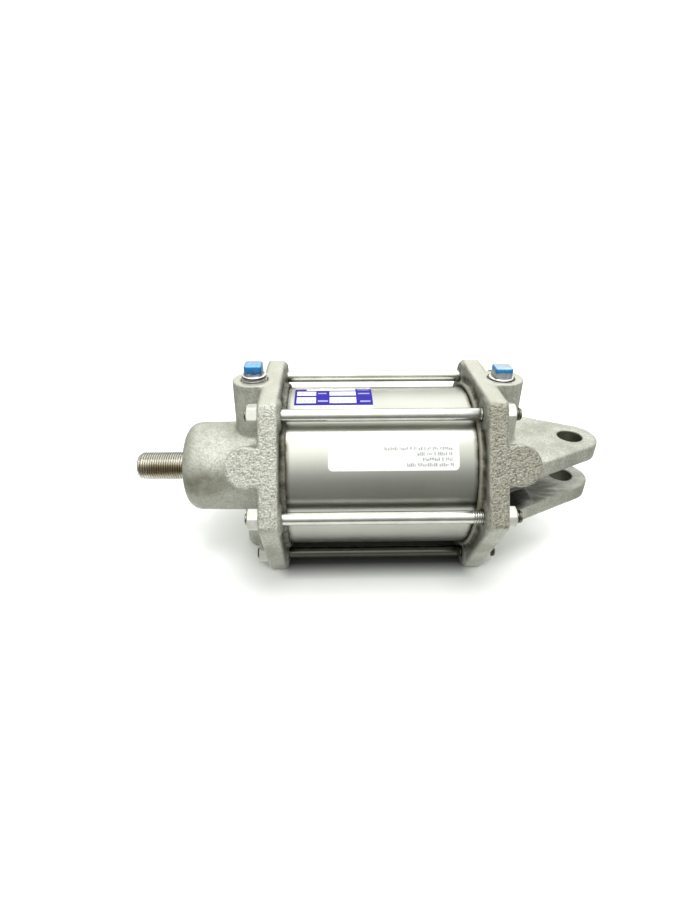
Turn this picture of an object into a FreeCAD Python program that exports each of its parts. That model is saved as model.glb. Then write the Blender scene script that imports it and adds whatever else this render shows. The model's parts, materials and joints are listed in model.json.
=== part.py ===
"""Double-acting tie-rod pneumatic cylinder, 4 in bore, with hexagonal cast heads and a rear clevis.

Millimetres. The origin is the middle of the clevis pin bore. The cylinder's axis is X: the piston
rod leaves towards -X and the clevis points to +X. +Z is up, the side of the port plugs, and the
heads stand on their lower flats. Stations along the axis are built up from the pin bore.
"""
import FreeCAD, Part
import math
import os

INCH = 25.4

# Clevis
PIN_BORE_RADIUS = 8.0
NOSE_RADIUS = 17.7
EAR_OUTER_Z = 21.7
EAR_INNER_Z = 9.7
EAR_HALF_ANGLE = math.radians(27.0)
EAR_EDGE_RADIUS = 1.5
CAST_GAP_HALF = 6.5
CAST_GAP_X = -32.5
GAP_STEP_RADIUS = 3.0
EAR_ROOT_RADIUS = 7.0
GAP_ROOT_RADIUS = 5.0

# Hexagonal head plates
HEX_APOTHEM = 64.3
HEX_CORNER_RADIUS = 4.5
PLATE_EDGE_RADIUS = 2.0
PLATE_THICKNESS = 12.7
PIN_TO_PLATE = 59.6
HEAD_SPACING = 123.1
HEX_SIDES = 6
HEX_STEP = 360.0 / HEX_SIDES

# Stations of the plates' outer and inner faces
CAP_OUTER_X = -PIN_TO_PLATE
CAP_INNER_X = CAP_OUTER_X - PLATE_THICKNESS
ROD_INNER_X = CAP_INNER_X - HEAD_SPACING
ROD_OUTER_X = ROD_INNER_X - PLATE_THICKNESS

# Barrel and the grooves that hold it
BARREL_BORE_RADIUS = 2.0 * INCH
BARREL_WALL = INCH / 8.0
BARREL_OUTER_RADIUS = BARREL_BORE_RADIUS + BARREL_WALL
COLLAR_RADIUS = 56.9
COLLAR_HEIGHT = 3.5
GROOVE_DEPTH = 4.0
GROOVE_CLEARANCE = 0.05
GASKET_THICKNESS = 0.8
POCKET_RADIUS = 46.0
POCKET_DEPTH = 7.5

# Tie rods and their nuts: 5/16-18
TIE_CIRCLE_RADIUS = 62.0
TIE_ROD_RADIUS = 5.0 / 32.0 * INCH
TIE_HOLE_RADIUS = 4.15
TIE_PAD_RADIUS = 9.5
TIE_PAD_HEIGHT = 1.3
TIE_NUT_FLATS = INCH / 2.0
ROD_END_NUT_HEIGHT = 17.0 / 64.0 * INCH
CAP_END_NUT_HEIGHT = 7.0 / 32.0 * INCH
TIE_STUD_ROD_END = 1.5
TIE_STUD_CAP_END = 4.1
PISTON_NUT_TURN = 30.0
# Where each tie nut's first corner points, in degrees from the front upwards, from tie rod 1 on
ROD_END_NUT_TURNS = (35.0, 5.0, 42.0, 24.0, 33.0, 50.0)
CAP_END_NUT_TURNS = (35.0, 17.0, 44.0, 34.0, 52.0, 27.0)
NUT_FACE_SHARE = 0.96
NUT_CHAMFER_ANGLE = math.radians(30.0)
STUD_CHAMFER = 0.7

# Round bosses on four of the six flats: one is the port, three are blanks
BOSS_OFFSET = 6.5
BOSS_TOP_RADIUS = 12.8
BOSS_ROOT_RADIUS = 13.6
BOSS_ROOT_HEIGHT = 18.0
BOSS_EDGE_RADIUS = 1.2
PORT_EDGE_RADIUS = 0.4
BLANK_BOSS_ANGLES = (30.0, 150.0, 270.0)
PORT_FACE_Z = 64.8

# Ports (3/8 NPT) and their square-head plugs
PORT_OFFSET = 5.2
PORT_RADIUS = 8.55
PORT_DEPTH = 15.0
PLUG_THREAD_RADIUS = 8.5
ROD_END_PLUG_STANDOUT = 3.7
CAP_END_PLUG_STANDOUT = 1.0
PLUG_THREAD_LENGTH = 12.5
PLUG_HEAD_WIDTH = 7.0 / 16.0 * INCH
PLUG_HEAD_HEIGHT = 6.8
PLUG_HEAD_EDGE = 0.9
AIRWAY_RADIUS = 4.0
AIRWAY_Z = 39.0
ROD_PORT_X = ROD_OUTER_X - PORT_OFFSET
CAP_PORT_X = CAP_OUTER_X + PORT_OFFSET

# Rod-end bearing housing
HOUSING_LENGTH = 54.8
HOUSING_END_RADIUS = 30.6
HOUSING_ROOT_RADIUS = 31.4
HOUSING_CORNER_RADIUS = 9.0
HOUSING_FILLET_RADIUS = 3.5

# Piston rod: 3/4 in with a 3/4-16 thread on its end, and a 5/8 in stub for the piston
ROD_RADIUS = 3.0 / 8.0 * INCH
ROD_STANDOUT = 35.0
ROD_TIP_CHAMFER = 2.6
ROD_TIP_DROP = 1.6
THREAD_RELIEF_RADIUS = 8.9
THREAD_RELIEF_OUTSIDE = 1.2
THREAD_RELIEF_INSIDE = 0.8
ROD_STUB_RADIUS = 5.0 / 16.0 * INCH
FIT_CLEARANCE = 0.05

# Rod bearing, seal, retaining ring and wiper
WIPER_DEPTH = 6.0
WIPER_RADIUS = 15.9
WIPER_LIP = 1.4
BUSHING_RADIUS = 14.3
BUSHING_LENGTH = 41.0
ROD_SEAL_RADIUS = 15.9
ROD_SEAL_LENGTH = 6.4
RING_OUTER_RADIUS = 17.4
RING_INNER_RADIUS = 13.2
RING_THICKNESS = 1.6
RING_GAP = 6.0

# Stations inside the bearing housing
HOUSING_END_X = ROD_OUTER_X - HOUSING_LENGTH
BUSHING_X = HOUSING_END_X + WIPER_DEPTH
ROD_SEAL_X = BUSHING_X + BUSHING_LENGTH
RING_X = ROD_SEAL_X + ROD_SEAL_LENGTH

# Piston, its seals, wear ring and nut
PISTON_RADIUS = 50.5
PISTON_WIDTH = 1.5 * INCH
STROKE = 3.0 * INCH
PISTON_SEAL_WIDTH = 7.0
PISTON_SEAL_DEPTH = 6.5
PISTON_SEAL_INSET = 5.0
SEAL_LIP_DEPTH = 2.6
WEAR_RING_WIDTH = 8.0
WEAR_RING_THICKNESS = 2.4
RUNNING_RADIUS = BARREL_BORE_RADIUS - FIT_CLEARANCE
GROOVE_SIDE_CLEARANCE = 0.2
PISTON_SHOULDER_DEPTH = 3.0
PISTON_NUT_FLATS = 15.0 / 16.0 * INCH
PISTON_NUT_HEIGHT = 9.5
NUT_RECESS_RADIUS = 16.5
NUT_RECESS_DEPTH = 11.0
O_RING_SECTION = 1.3

# The piston stands at the cap end at rest, with the same gap that is left at full stroke
PISTON_END_GAP = (HEAD_SPACING - 2.0 * COLLAR_HEIGHT - PISTON_WIDTH - STROKE) / 2.0
PISTON_HIGH_X = CAP_INNER_X - COLLAR_HEIGHT - PISTON_END_GAP
PISTON_LOW_X = PISTON_HIGH_X - PISTON_WIDTH

# Plates on the barrel: angles are about the axis, from the front (-Y) upwards
NAME_PLATE_LENGTH = 50.0
NAME_PLATE_ANGLES = (70.5, 103.5)
NAME_PLATE_THICKNESS = 0.5
NAME_PLATE_X = -162.7
LABEL_LENGTH = 79.4
LABEL_ANGLES = (27.1, 48.3)
LABEL_THICKNESS = 0.25
LABEL_X = -126.8

# How closely an edge must match when it is picked out of a solid
TOLERANCE = 0.001

AXIS_X = FreeCAD.Vector(1, 0, 0)
ORIGIN = FreeCAD.Vector(0, 0, 0)


def vector(x, y, z):
    return FreeCAD.Vector(x, y, z)


def around_axis(radius, angle_degrees, x=0.0):
    """The point at this radius and angle, measured from the front (-Y) upwards."""
    angle = math.radians(angle_degrees)
    return vector(x, -radius * math.cos(angle), radius * math.sin(angle))


def rod_along_x(radius, x_low, x_high, y=0.0, z=0.0):
    return Part.makeCylinder(radius, x_high - x_low, vector(x_low, y, z), AXIS_X)


def ring_along_x(outer, inner, x_low, x_high):
    return rod_along_x(outer, x_low, x_high).cut(rod_along_x(inner, x_low, x_high))


def turned(outline):
    """A solid of revolution about X from (x, radius) points."""
    points = [vector(x, 0, radius) for x, radius in outline]
    face = Part.Face(Part.makePolygon(points + points[:1]))
    return face.revolve(ORIGIN, AXIS_X, 360)


def hex_prism(flats, x_low, x_high, y=0.0, z=0.0, turn=0.0):
    """A hexagonal prism along X. With no turn, one pair of its flats is level."""
    corner = flats / 2.0 / math.cos(math.pi / HEX_SIDES)
    middle = vector(0, y, z)
    points = [around_axis(corner, HEX_STEP * index + turn, x_low) + middle for index in range(HEX_SIDES)]
    face = Part.Face(Part.makePolygon(points + points[:1]))
    return face.extrude(vector(x_high - x_low, 0, 0))


def chamfered_nut(flats, x_low, x_high, chamfered_low, turn, y=0.0, z=0.0):
    """A hexagon nut whose corners are turned off on its outer face."""
    corner = flats / 2.0 / math.cos(math.pi / HEX_SIDES) + TOLERANCE
    face_radius = flats / 2.0 * NUT_FACE_SHARE
    drop = (corner - face_radius) * math.tan(NUT_CHAMFER_ANGLE)
    if chamfered_low:
        cone = Part.makeCone(face_radius, corner, drop, vector(x_low, y, z), AXIS_X)
        body = rod_along_x(corner, x_low + drop, x_high, y, z)
    else:
        cone = Part.makeCone(corner, face_radius, drop, vector(x_high - drop, y, z), AXIS_X)
        body = rod_along_x(corner, x_low, x_high - drop, y, z)
    return hex_prism(flats, x_low, x_high, y, z, turn).common(body.fuse(cone))


def edges_where(shape, chosen):
    return [edge for edge in shape.Edges if chosen(edge)]


def runs_along_x(edge):
    if not isinstance(edge.Curve, Part.Line):
        return False
    return abs(edge.tangentAt(edge.FirstParameter).x) > 1.0 - TOLERANCE


def lies_across_x(edge):
    return edge.BoundBox.XLength < TOLERANCE


def hex_plate(x_low):
    plate = hex_prism(2.0 * HEX_APOTHEM, x_low, x_low + PLATE_THICKNESS)
    plate = plate.makeFillet(HEX_CORNER_RADIUS, edges_where(plate, runs_along_x))
    return plate.makeFillet(PLATE_EDGE_RADIUS, edges_where(plate, lies_across_x))


def tie_pads(inner_x, outward):
    """Low pads around the tie-rod holes, on the plate's inner face."""
    x_low = min(inner_x, inner_x - outward * TIE_PAD_HEIGHT)
    pads = []
    for index in range(HEX_SIDES):
        centre = around_axis(TIE_CIRCLE_RADIUS, HEX_STEP * index)
        pads.append(rod_along_x(TIE_PAD_RADIUS, x_low, x_low + TIE_PAD_HEIGHT, centre.y, centre.z))
    outline = hex_prism(2.0 * HEX_APOTHEM, x_low, x_low + TIE_PAD_HEIGHT)
    outline = outline.makeFillet(HEX_CORNER_RADIUS, edges_where(outline, runs_along_x))
    return [pad.common(outline) for pad in pads]


def boss(angle, x, face_distance, edge_radius):
    """A round boss that stands on the head's side and points outwards from the axis."""
    outward = around_axis(1.0, angle)
    foot = outward * BOSS_ROOT_HEIGHT + vector(x, 0, 0)
    body = Part.makeCone(BOSS_ROOT_RADIUS, BOSS_TOP_RADIUS, face_distance - BOSS_ROOT_HEIGHT, foot, outward)
    rim = edges_where(body, lambda edge: abs(edge.CenterOfMass.dot(outward) - face_distance) < TOLERANCE)
    return body.makeFillet(edge_radius, rim)


def head_blank(plate_low_x, inner_x, outward, boss_x):
    """Plate, collar, pads and bosses of a head. outward is +1 or -1 along X, away from the barrel."""
    collar_low = min(inner_x, inner_x - outward * COLLAR_HEIGHT)
    pieces = tie_pads(inner_x, outward)
    pieces.append(rod_along_x(COLLAR_RADIUS, collar_low, collar_low + COLLAR_HEIGHT))
    pieces.append(boss(90.0, boss_x, PORT_FACE_Z, PORT_EDGE_RADIUS))
    for angle in BLANK_BOSS_ANGLES:
        pieces.append(boss(angle, boss_x, HEX_APOTHEM, BOSS_EDGE_RADIUS))
    return hex_plate(plate_low_x), pieces


def head_cuts(inner_x, outward, port_x):
    """Barrel groove, air pocket, tie-rod holes and port with its airway."""
    rim_x = inner_x - outward * COLLAR_HEIGHT
    seat_x = inner_x + outward * GROOVE_DEPTH
    groove = ring_along_x(BARREL_OUTER_RADIUS + GROOVE_CLEARANCE, BARREL_BORE_RADIUS - GROOVE_CLEARANCE,
                          min(rim_x, seat_x), max(rim_x, seat_x))
    pocket_end = rim_x + outward * POCKET_DEPTH
    pocket = rod_along_x(POCKET_RADIUS, min(rim_x, pocket_end), max(rim_x, pocket_end))
    cuts = [groove, pocket]
    for index in range(HEX_SIDES):
        centre = around_axis(TIE_CIRCLE_RADIUS, HEX_STEP * index)
        hole = rod_along_x(TIE_HOLE_RADIUS, inner_x - PLATE_THICKNESS * 2, inner_x + PLATE_THICKNESS * 2,
                           centre.y, centre.z)
        cuts.append(hole)
    port_floor = PORT_FACE_Z - PORT_DEPTH
    cuts.append(Part.makeCylinder(PORT_RADIUS, PORT_DEPTH, vector(port_x, 0, port_floor)))
    cuts.append(Part.makeCylinder(AIRWAY_RADIUS, PORT_FACE_Z - AIRWAY_Z, vector(port_x, 0, AIRWAY_Z)))
    cuts.append(rod_along_x(AIRWAY_RADIUS, min(port_x, rim_x), max(port_x, rim_x), 0.0, AIRWAY_Z))
    return cuts


def ear_outline():
    """The clevis seen from above: a round nose whose tangents widen towards the plate."""
    cosine = math.cos(EAR_HALF_ANGLE)
    sine = math.sin(EAR_HALF_ANGLE)
    tangent_x = NOSE_RADIUS * sine
    tangent_y = NOSE_RADIUS * cosine
    root_y = tangent_y + (tangent_x - CAP_OUTER_X + PLATE_THICKNESS / 2.0) * math.tan(EAR_HALF_ANGLE)
    root_x = CAP_OUTER_X - PLATE_THICKNESS / 2.0
    front = vector(tangent_x, -tangent_y, -EAR_OUTER_Z)
    rear = vector(tangent_x, tangent_y, -EAR_OUTER_Z)
    nose = Part.Arc(front, vector(NOSE_RADIUS, 0, -EAR_OUTER_Z), rear).toShape()
    root_front = vector(root_x, -root_y, -EAR_OUTER_Z)
    root_rear = vector(root_x, root_y, -EAR_OUTER_Z)
    sides = [Part.makeLine(root_front, front), nose, Part.makeLine(rear, root_rear),
             Part.makeLine(root_rear, root_front)]
    return Part.Face(Part.Wire(sides))


def clevis_block():
    """Both ears as one tapered block with rounded edges. The gap is cut later."""
    block = ear_outline().extrude(vector(0, 0, 2.0 * EAR_OUTER_Z))
    flat = edges_where(block, lambda edge: edge.BoundBox.ZLength < TOLERANCE)
    rims = [edge for edge in flat if edge.BoundBox.XMax > CAP_OUTER_X]
    return block.makeFillet(EAR_EDGE_RADIUS, rims)


def concave_root(z_sign):
    """The fillet between the plate and the outer face of an ear."""
    width = NOSE_RADIUS + PIN_TO_PLATE * math.tan(EAR_HALF_ANGLE)
    corner = vector(CAP_OUTER_X, -width, z_sign * EAR_OUTER_Z)
    block = Part.makeBox(EAR_ROOT_RADIUS, 2.0 * width, EAR_ROOT_RADIUS,
                         corner if z_sign > 0 else corner - vector(0, 0, EAR_ROOT_RADIUS))
    hollow_centre = vector(CAP_OUTER_X + EAR_ROOT_RADIUS, -width, z_sign * (EAR_OUTER_Z + EAR_ROOT_RADIUS))
    hollow = Part.makeCylinder(EAR_ROOT_RADIUS, 2.0 * width, hollow_centre, vector(0, 1, 0))
    return block.cut(hollow)


def gap_box(back_x, front_x, half_gap, corner_radius):
    """A slab across the clevis, with the two corners at its back rounded."""
    slab = Part.makeBox(front_x - back_x, 4.0 * HEX_APOTHEM, 2.0 * half_gap,
                        vector(back_x, -2.0 * HEX_APOTHEM, -half_gap))
    across = edges_where(slab, lambda edge: edge.BoundBox.YLength > HEX_APOTHEM)
    back = [edge for edge in across if edge.CenterOfMass.x < back_x + TOLERANCE]
    return slab.makeFillet(corner_radius, back)


def clevis_gap():
    """The slot between the ears: machined wide at the pin, narrower as cast towards the plate."""
    wide = gap_box(CAST_GAP_X, 2.0 * NOSE_RADIUS, EAR_INNER_Z, GAP_STEP_RADIUS)
    narrow = gap_box(CAP_OUTER_X, CAST_GAP_X + GAP_STEP_RADIUS, CAST_GAP_HALF, GAP_ROOT_RADIUS)
    return wide.fuse(narrow)


def cap_end_head():
    plate, pieces = head_blank(CAP_INNER_X, CAP_INNER_X, 1, CAP_OUTER_X + BOSS_OFFSET)
    pieces += [clevis_block(), concave_root(1), concave_root(-1)]
    head = plate.fuse(pieces).removeSplitter()
    pin_bore = Part.makeCylinder(PIN_BORE_RADIUS, 4.0 * EAR_OUTER_Z, vector(0, 0, -2.0 * EAR_OUTER_Z))
    return head.cut(head_cuts(CAP_INNER_X, 1, CAP_PORT_X) + [clevis_gap(), pin_bore])


def bearing_housing():
    """The round nose around the rod, with draft, a rounded front edge and a fillet at the plate."""
    end_x = ROD_OUTER_X - HOUSING_LENGTH
    base_x = ROD_OUTER_X + PLATE_THICKNESS / 2.0
    corner_x = end_x + HOUSING_CORNER_RADIUS
    corner_z = HOUSING_END_RADIUS - HOUSING_CORNER_RADIUS
    fillet_x = ROD_OUTER_X - HOUSING_FILLET_RADIUS
    fillet_z = HOUSING_ROOT_RADIUS + HOUSING_FILLET_RADIUS
    diagonal = math.sqrt(0.5)
    points = [vector(end_x, 0, 0), vector(end_x, 0, corner_z), vector(corner_x, 0, HOUSING_END_RADIUS),
              vector(fillet_x, 0, HOUSING_ROOT_RADIUS), vector(ROD_OUTER_X, 0, fillet_z),
              vector(base_x, 0, fillet_z), vector(base_x, 0, 0)]
    nose_middle = vector(corner_x, 0, corner_z) + vector(-diagonal, 0, diagonal) * HOUSING_CORNER_RADIUS
    root_middle = vector(fillet_x, 0, fillet_z) + vector(diagonal, 0, -diagonal) * HOUSING_FILLET_RADIUS
    edges = [Part.makeLine(points[0], points[1]),
             Part.Arc(points[1], nose_middle, points[2]).toShape(),
             Part.makeLine(points[2], points[3]),
             Part.Arc(points[3], root_middle, points[4]).toShape(),
             Part.makeLine(points[4], points[5]),
             Part.makeLine(points[5], points[6]),
             Part.makeLine(points[6], points[0])]
    return Part.Face(Part.Wire(edges)).revolve(ORIGIN, AXIS_X, 360)


def rod_end_head():
    plate, pieces = head_blank(ROD_OUTER_X, ROD_INNER_X, -1, ROD_OUTER_X - BOSS_OFFSET)
    head = plate.fuse(pieces + [bearing_housing()]).removeSplitter()
    bore = [rod_along_x(WIPER_RADIUS, HOUSING_END_X, BUSHING_X),
            rod_along_x(BUSHING_RADIUS, BUSHING_X, ROD_SEAL_X),
            rod_along_x(ROD_SEAL_RADIUS, ROD_SEAL_X, ROD_INNER_X + COLLAR_HEIGHT),
            rod_along_x(RING_OUTER_RADIUS, RING_X, RING_X + RING_THICKNESS)]
    return head.cut(head_cuts(ROD_INNER_X, -1, ROD_PORT_X) + bore)


def barrel_tube():
    return ring_along_x(BARREL_OUTER_RADIUS, BARREL_BORE_RADIUS,
                        ROD_INNER_X - GROOVE_DEPTH + GASKET_THICKNESS,
                        CAP_INNER_X + GROOVE_DEPTH - GASKET_THICKNESS)


def barrel_gasket(x_low):
    return ring_along_x(BARREL_OUTER_RADIUS, BARREL_BORE_RADIUS, x_low, x_low + GASKET_THICKNESS)


def tie_rod(index):
    """One tie rod: plain in the middle, with both threaded ends chamfered."""
    centre = around_axis(TIE_CIRCLE_RADIUS, HEX_STEP * index)
    x_low = ROD_OUTER_X - ROD_END_NUT_HEIGHT - TIE_STUD_ROD_END
    x_high = CAP_OUTER_X + CAP_END_NUT_HEIGHT + TIE_STUD_CAP_END
    rod = rod_along_x(TIE_ROD_RADIUS, x_low, x_high, centre.y, centre.z)
    return rod.makeChamfer(STUD_CHAMFER, edges_where(rod, lies_across_x))


def tie_nuts(x_low, x_high, chamfered_low, turns):
    """The six nuts on one head, each left where its wrench stopped."""
    nuts = []
    for index, turn in enumerate(turns):
        centre = around_axis(TIE_CIRCLE_RADIUS, HEX_STEP * index)
        nut = chamfered_nut(TIE_NUT_FLATS, x_low, x_high, chamfered_low, turn, centre.y, centre.z)
        hole = rod_along_x(TIE_ROD_RADIUS, x_low, x_high, centre.y, centre.z)
        nuts.append(nut.cut(hole))
    return Part.makeCompound(nuts)


def port_plug(port_x, standout):
    """Pipe plug: a threaded shank that stands a little proud of the boss, with a square head."""
    collar_z = PORT_FACE_Z + standout
    foot = vector(port_x, 0, collar_z - PLUG_THREAD_LENGTH)
    shank = Part.makeCylinder(PLUG_THREAD_RADIUS, PLUG_THREAD_LENGTH, foot)
    half = PLUG_HEAD_WIDTH / 2.0
    corner = vector(port_x - half, -half, collar_z)
    head = Part.makeBox(PLUG_HEAD_WIDTH, PLUG_HEAD_WIDTH, PLUG_HEAD_HEIGHT, corner)
    raised = edges_where(head, lambda edge: edge.BoundBox.ZMax > collar_z + TOLERANCE)
    return shank.fuse(head.makeFillet(PLUG_HEAD_EDGE, raised)).removeSplitter()


def piston_rod():
    """Rod with its threaded end to -X, a relief behind the thread, and a stub that carries the piston."""
    tip_x = HOUSING_END_X - ROD_STANDOUT
    relief_low = HOUSING_END_X - THREAD_RELIEF_OUTSIDE
    relief_high = HOUSING_END_X + THREAD_RELIEF_INSIDE
    shoulder_x = PISTON_LOW_X + PISTON_SHOULDER_DEPTH
    stub_end = PISTON_HIGH_X - (NUT_RECESS_DEPTH - PISTON_NUT_HEIGHT) / 2.0
    outline = [(tip_x, 0.0), (tip_x, ROD_RADIUS - ROD_TIP_DROP), (tip_x + ROD_TIP_CHAMFER, ROD_RADIUS),
               (relief_low, ROD_RADIUS), (relief_low, THREAD_RELIEF_RADIUS),
               (relief_high, THREAD_RELIEF_RADIUS), (relief_high, ROD_RADIUS),
               (shoulder_x, ROD_RADIUS), (shoulder_x, ROD_STUB_RADIUS), (stub_end, ROD_STUB_RADIUS),
               (stub_end, 0.0)]
    return turned(outline)


def rod_wiper():
    """Wiper ring pressed into the housing, with a lip that points outwards along the rod."""
    inner = ROD_RADIUS + FIT_CLEARANCE
    lip_x = HOUSING_END_X + FIT_CLEARANCE
    face_x = HOUSING_END_X + WIPER_LIP
    outline = [(BUSHING_X, inner), (BUSHING_X, WIPER_RADIUS), (face_x, WIPER_RADIUS),
               (face_x, inner + 2.0 * WIPER_LIP), (lip_x, inner + WIPER_LIP / 2.0), (lip_x, inner)]
    return turned(outline)


def rod_bushing():
    return ring_along_x(BUSHING_RADIUS, ROD_RADIUS + FIT_CLEARANCE, BUSHING_X, ROD_SEAL_X)


def cup_seal(outer, inner, back_x, mouth_x, lip_depth):
    """A U-cup: a ring with a V groove in the face that meets the pressure."""
    towards_mouth = math.copysign(1.0, mouth_x - back_x)
    middle = (outer + inner) / 2.0
    lip = (outer - inner) / 4.0
    outline = [(back_x, inner), (back_x, outer), (mouth_x, outer), (mouth_x, middle + lip),
               (mouth_x - towards_mouth * lip_depth, middle), (mouth_x, middle - lip), (mouth_x, inner)]
    return turned(outline)


def rod_seal():
    return cup_seal(ROD_SEAL_RADIUS, ROD_RADIUS + FIT_CLEARANCE, ROD_SEAL_X, RING_X, SEAL_LIP_DEPTH)


def seal_retaining_ring():
    """Internal snap ring behind the rod seal, with the gap at its foot."""
    ring = ring_along_x(RING_OUTER_RADIUS, RING_INNER_RADIUS, RING_X, RING_X + RING_THICKNESS)
    gap = Part.makeBox(RING_THICKNESS, RING_GAP, RING_OUTER_RADIUS,
                       vector(RING_X, -RING_GAP / 2.0, -RING_OUTER_RADIUS))
    return ring.cut(gap)


def piston_grooves():
    """The (low x, high x, floor radius) of the two seal grooves and the wear ring groove."""
    middle = (PISTON_LOW_X + PISTON_HIGH_X) / 2.0
    seal_width = PISTON_SEAL_WIDTH + 2.0 * GROOVE_SIDE_CLEARANCE
    wear_width = WEAR_RING_WIDTH + 2.0 * GROOVE_SIDE_CLEARANCE
    seal_floor = RUNNING_RADIUS - PISTON_SEAL_DEPTH - FIT_CLEARANCE
    wear_floor = RUNNING_RADIUS - WEAR_RING_THICKNESS - FIT_CLEARANCE
    front_x = PISTON_LOW_X + PISTON_SEAL_INSET
    rear_x = PISTON_HIGH_X - PISTON_SEAL_INSET
    return [(front_x, front_x + seal_width, seal_floor), (rear_x - seal_width, rear_x, seal_floor),
            (middle - wear_width / 2.0, middle + wear_width / 2.0, wear_floor)]


def piston():
    body = rod_along_x(PISTON_RADIUS, PISTON_LOW_X, PISTON_HIGH_X)
    body = body.makeChamfer(STUD_CHAMFER, edges_where(body, lies_across_x))
    shoulder_x = PISTON_LOW_X + PISTON_SHOULDER_DEPTH
    recess_x = PISTON_HIGH_X - NUT_RECESS_DEPTH
    groove_x = shoulder_x + O_RING_SECTION
    cuts = [rod_along_x(ROD_RADIUS, PISTON_LOW_X, shoulder_x),
            rod_along_x(ROD_STUB_RADIUS, shoulder_x, recess_x),
            rod_along_x(NUT_RECESS_RADIUS, recess_x, PISTON_HIGH_X),
            rod_along_x(ROD_STUB_RADIUS + O_RING_SECTION, groove_x, groove_x + 2.0 * O_RING_SECTION)]
    for low, high, floor in piston_grooves():
        cuts.append(ring_along_x(BARREL_OUTER_RADIUS, floor, low, high))
    return body.cut(cuts)


def piston_seal(front):
    low, high, floor = piston_grooves()[0 if front else 1]
    low += GROOVE_SIDE_CLEARANCE
    high -= GROOVE_SIDE_CLEARANCE
    back, mouth = (high, low) if front else (low, high)
    return cup_seal(RUNNING_RADIUS, floor + FIT_CLEARANCE, back, mouth, SEAL_LIP_DEPTH)


def piston_wear_ring():
    low, high, floor = piston_grooves()[2]
    return ring_along_x(RUNNING_RADIUS, floor + FIT_CLEARANCE, low + GROOVE_SIDE_CLEARANCE,
                        high - GROOVE_SIDE_CLEARANCE)


def piston_o_ring():
    """Static seal between the piston and the rod's stub."""
    centre_x = PISTON_LOW_X + PISTON_SHOULDER_DEPTH + 2.0 * O_RING_SECTION
    section = O_RING_SECTION / 2.0
    return Part.makeTorus(ROD_STUB_RADIUS + section, section, vector(centre_x, 0, 0), AXIS_X)


def piston_nut():
    x_low = PISTON_HIGH_X - NUT_RECESS_DEPTH
    nut = chamfered_nut(PISTON_NUT_FLATS, x_low, x_low + PISTON_NUT_HEIGHT, False, PISTON_NUT_TURN)
    return nut.cut(rod_along_x(ROD_STUB_RADIUS, x_low, x_low + PISTON_NUT_HEIGHT))


def barrel_patch(centre_x, length, angles, thickness):
    """A thin plate bent to the barrel between two angles about the axis."""
    inner = BARREL_OUTER_RADIUS
    outer = inner + thickness
    low, high = angles
    x_low = centre_x - length / 2.0
    stops = (low, (low + high) / 2.0, high)
    inside = [around_axis(inner, angle, x_low) for angle in stops]
    outside = [around_axis(outer, angle, x_low) for angle in stops]
    edges = [Part.Arc(inside[0], inside[1], inside[2]).toShape(), Part.makeLine(inside[2], outside[2]),
             Part.Arc(outside[2], outside[1], outside[0]).toShape(), Part.makeLine(outside[0], inside[0])]
    return Part.Face(Part.Wire(edges)).extrude(vector(length, 0, 0))


def all_parts():
    parts = {
        "rod_end_head": rod_end_head(),
        "cap_end_head": cap_end_head(),
        "barrel_tube": barrel_tube(),
        "rod_end_barrel_gasket": barrel_gasket(ROD_INNER_X - GROOVE_DEPTH),
        "cap_end_barrel_gasket": barrel_gasket(CAP_INNER_X + GROOVE_DEPTH - GASKET_THICKNESS),
        "rod_end_tie_nuts": tie_nuts(ROD_OUTER_X - ROD_END_NUT_HEIGHT, ROD_OUTER_X, True,
                                     ROD_END_NUT_TURNS),
        "cap_end_tie_nuts": tie_nuts(CAP_OUTER_X, CAP_OUTER_X + CAP_END_NUT_HEIGHT, False,
                                     CAP_END_NUT_TURNS),
        "rod_end_port_plug": port_plug(ROD_PORT_X, ROD_END_PLUG_STANDOUT),
        "cap_end_port_plug": port_plug(CAP_PORT_X, CAP_END_PLUG_STANDOUT),
        "rod_wiper": rod_wiper(),
        "rod_bushing": rod_bushing(),
        "rod_seal": rod_seal(),
        "seal_retaining_ring": seal_retaining_ring(),
        "piston_rod": piston_rod(),
        "piston": piston(),
        "piston_nut": piston_nut(),
        "piston_o_ring": piston_o_ring(),
        "piston_seal_front": piston_seal(True),
        "piston_seal_rear": piston_seal(False),
        "piston_wear_ring": piston_wear_ring(),
        "name_plate": barrel_patch(NAME_PLATE_X, NAME_PLATE_LENGTH, NAME_PLATE_ANGLES,
                                   NAME_PLATE_THICKNESS),
        "paper_label": barrel_patch(LABEL_X, LABEL_LENGTH, LABEL_ANGLES, LABEL_THICKNESS),
    }
    for index in range(HEX_SIDES):
        parts["tie_rod_%d" % (index + 1)] = tie_rod(index)
    return parts


os.makedirs("parts", exist_ok=True)
for name, shape in all_parts().items():
    if not shape.isValid():
        raise ValueError(name + " is not a valid solid")
    shape.exportStep("parts/" + name + ".step")
    print(name, len(shape.Solids), "solid(s)", round(shape.Volume), "mm3")
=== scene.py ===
"""Looks of the tie-rod pneumatic cylinder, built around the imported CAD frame.

Metres, +Z up. The cylinder's axis is X, through the origin: the threaded rod points to -X and the
clevis to +X. Angles about the axis run from the front (-Y) upwards.
"""
import json
import math
import random

import bmesh
import bpy
import numpy as np
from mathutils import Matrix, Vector, noise


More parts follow.
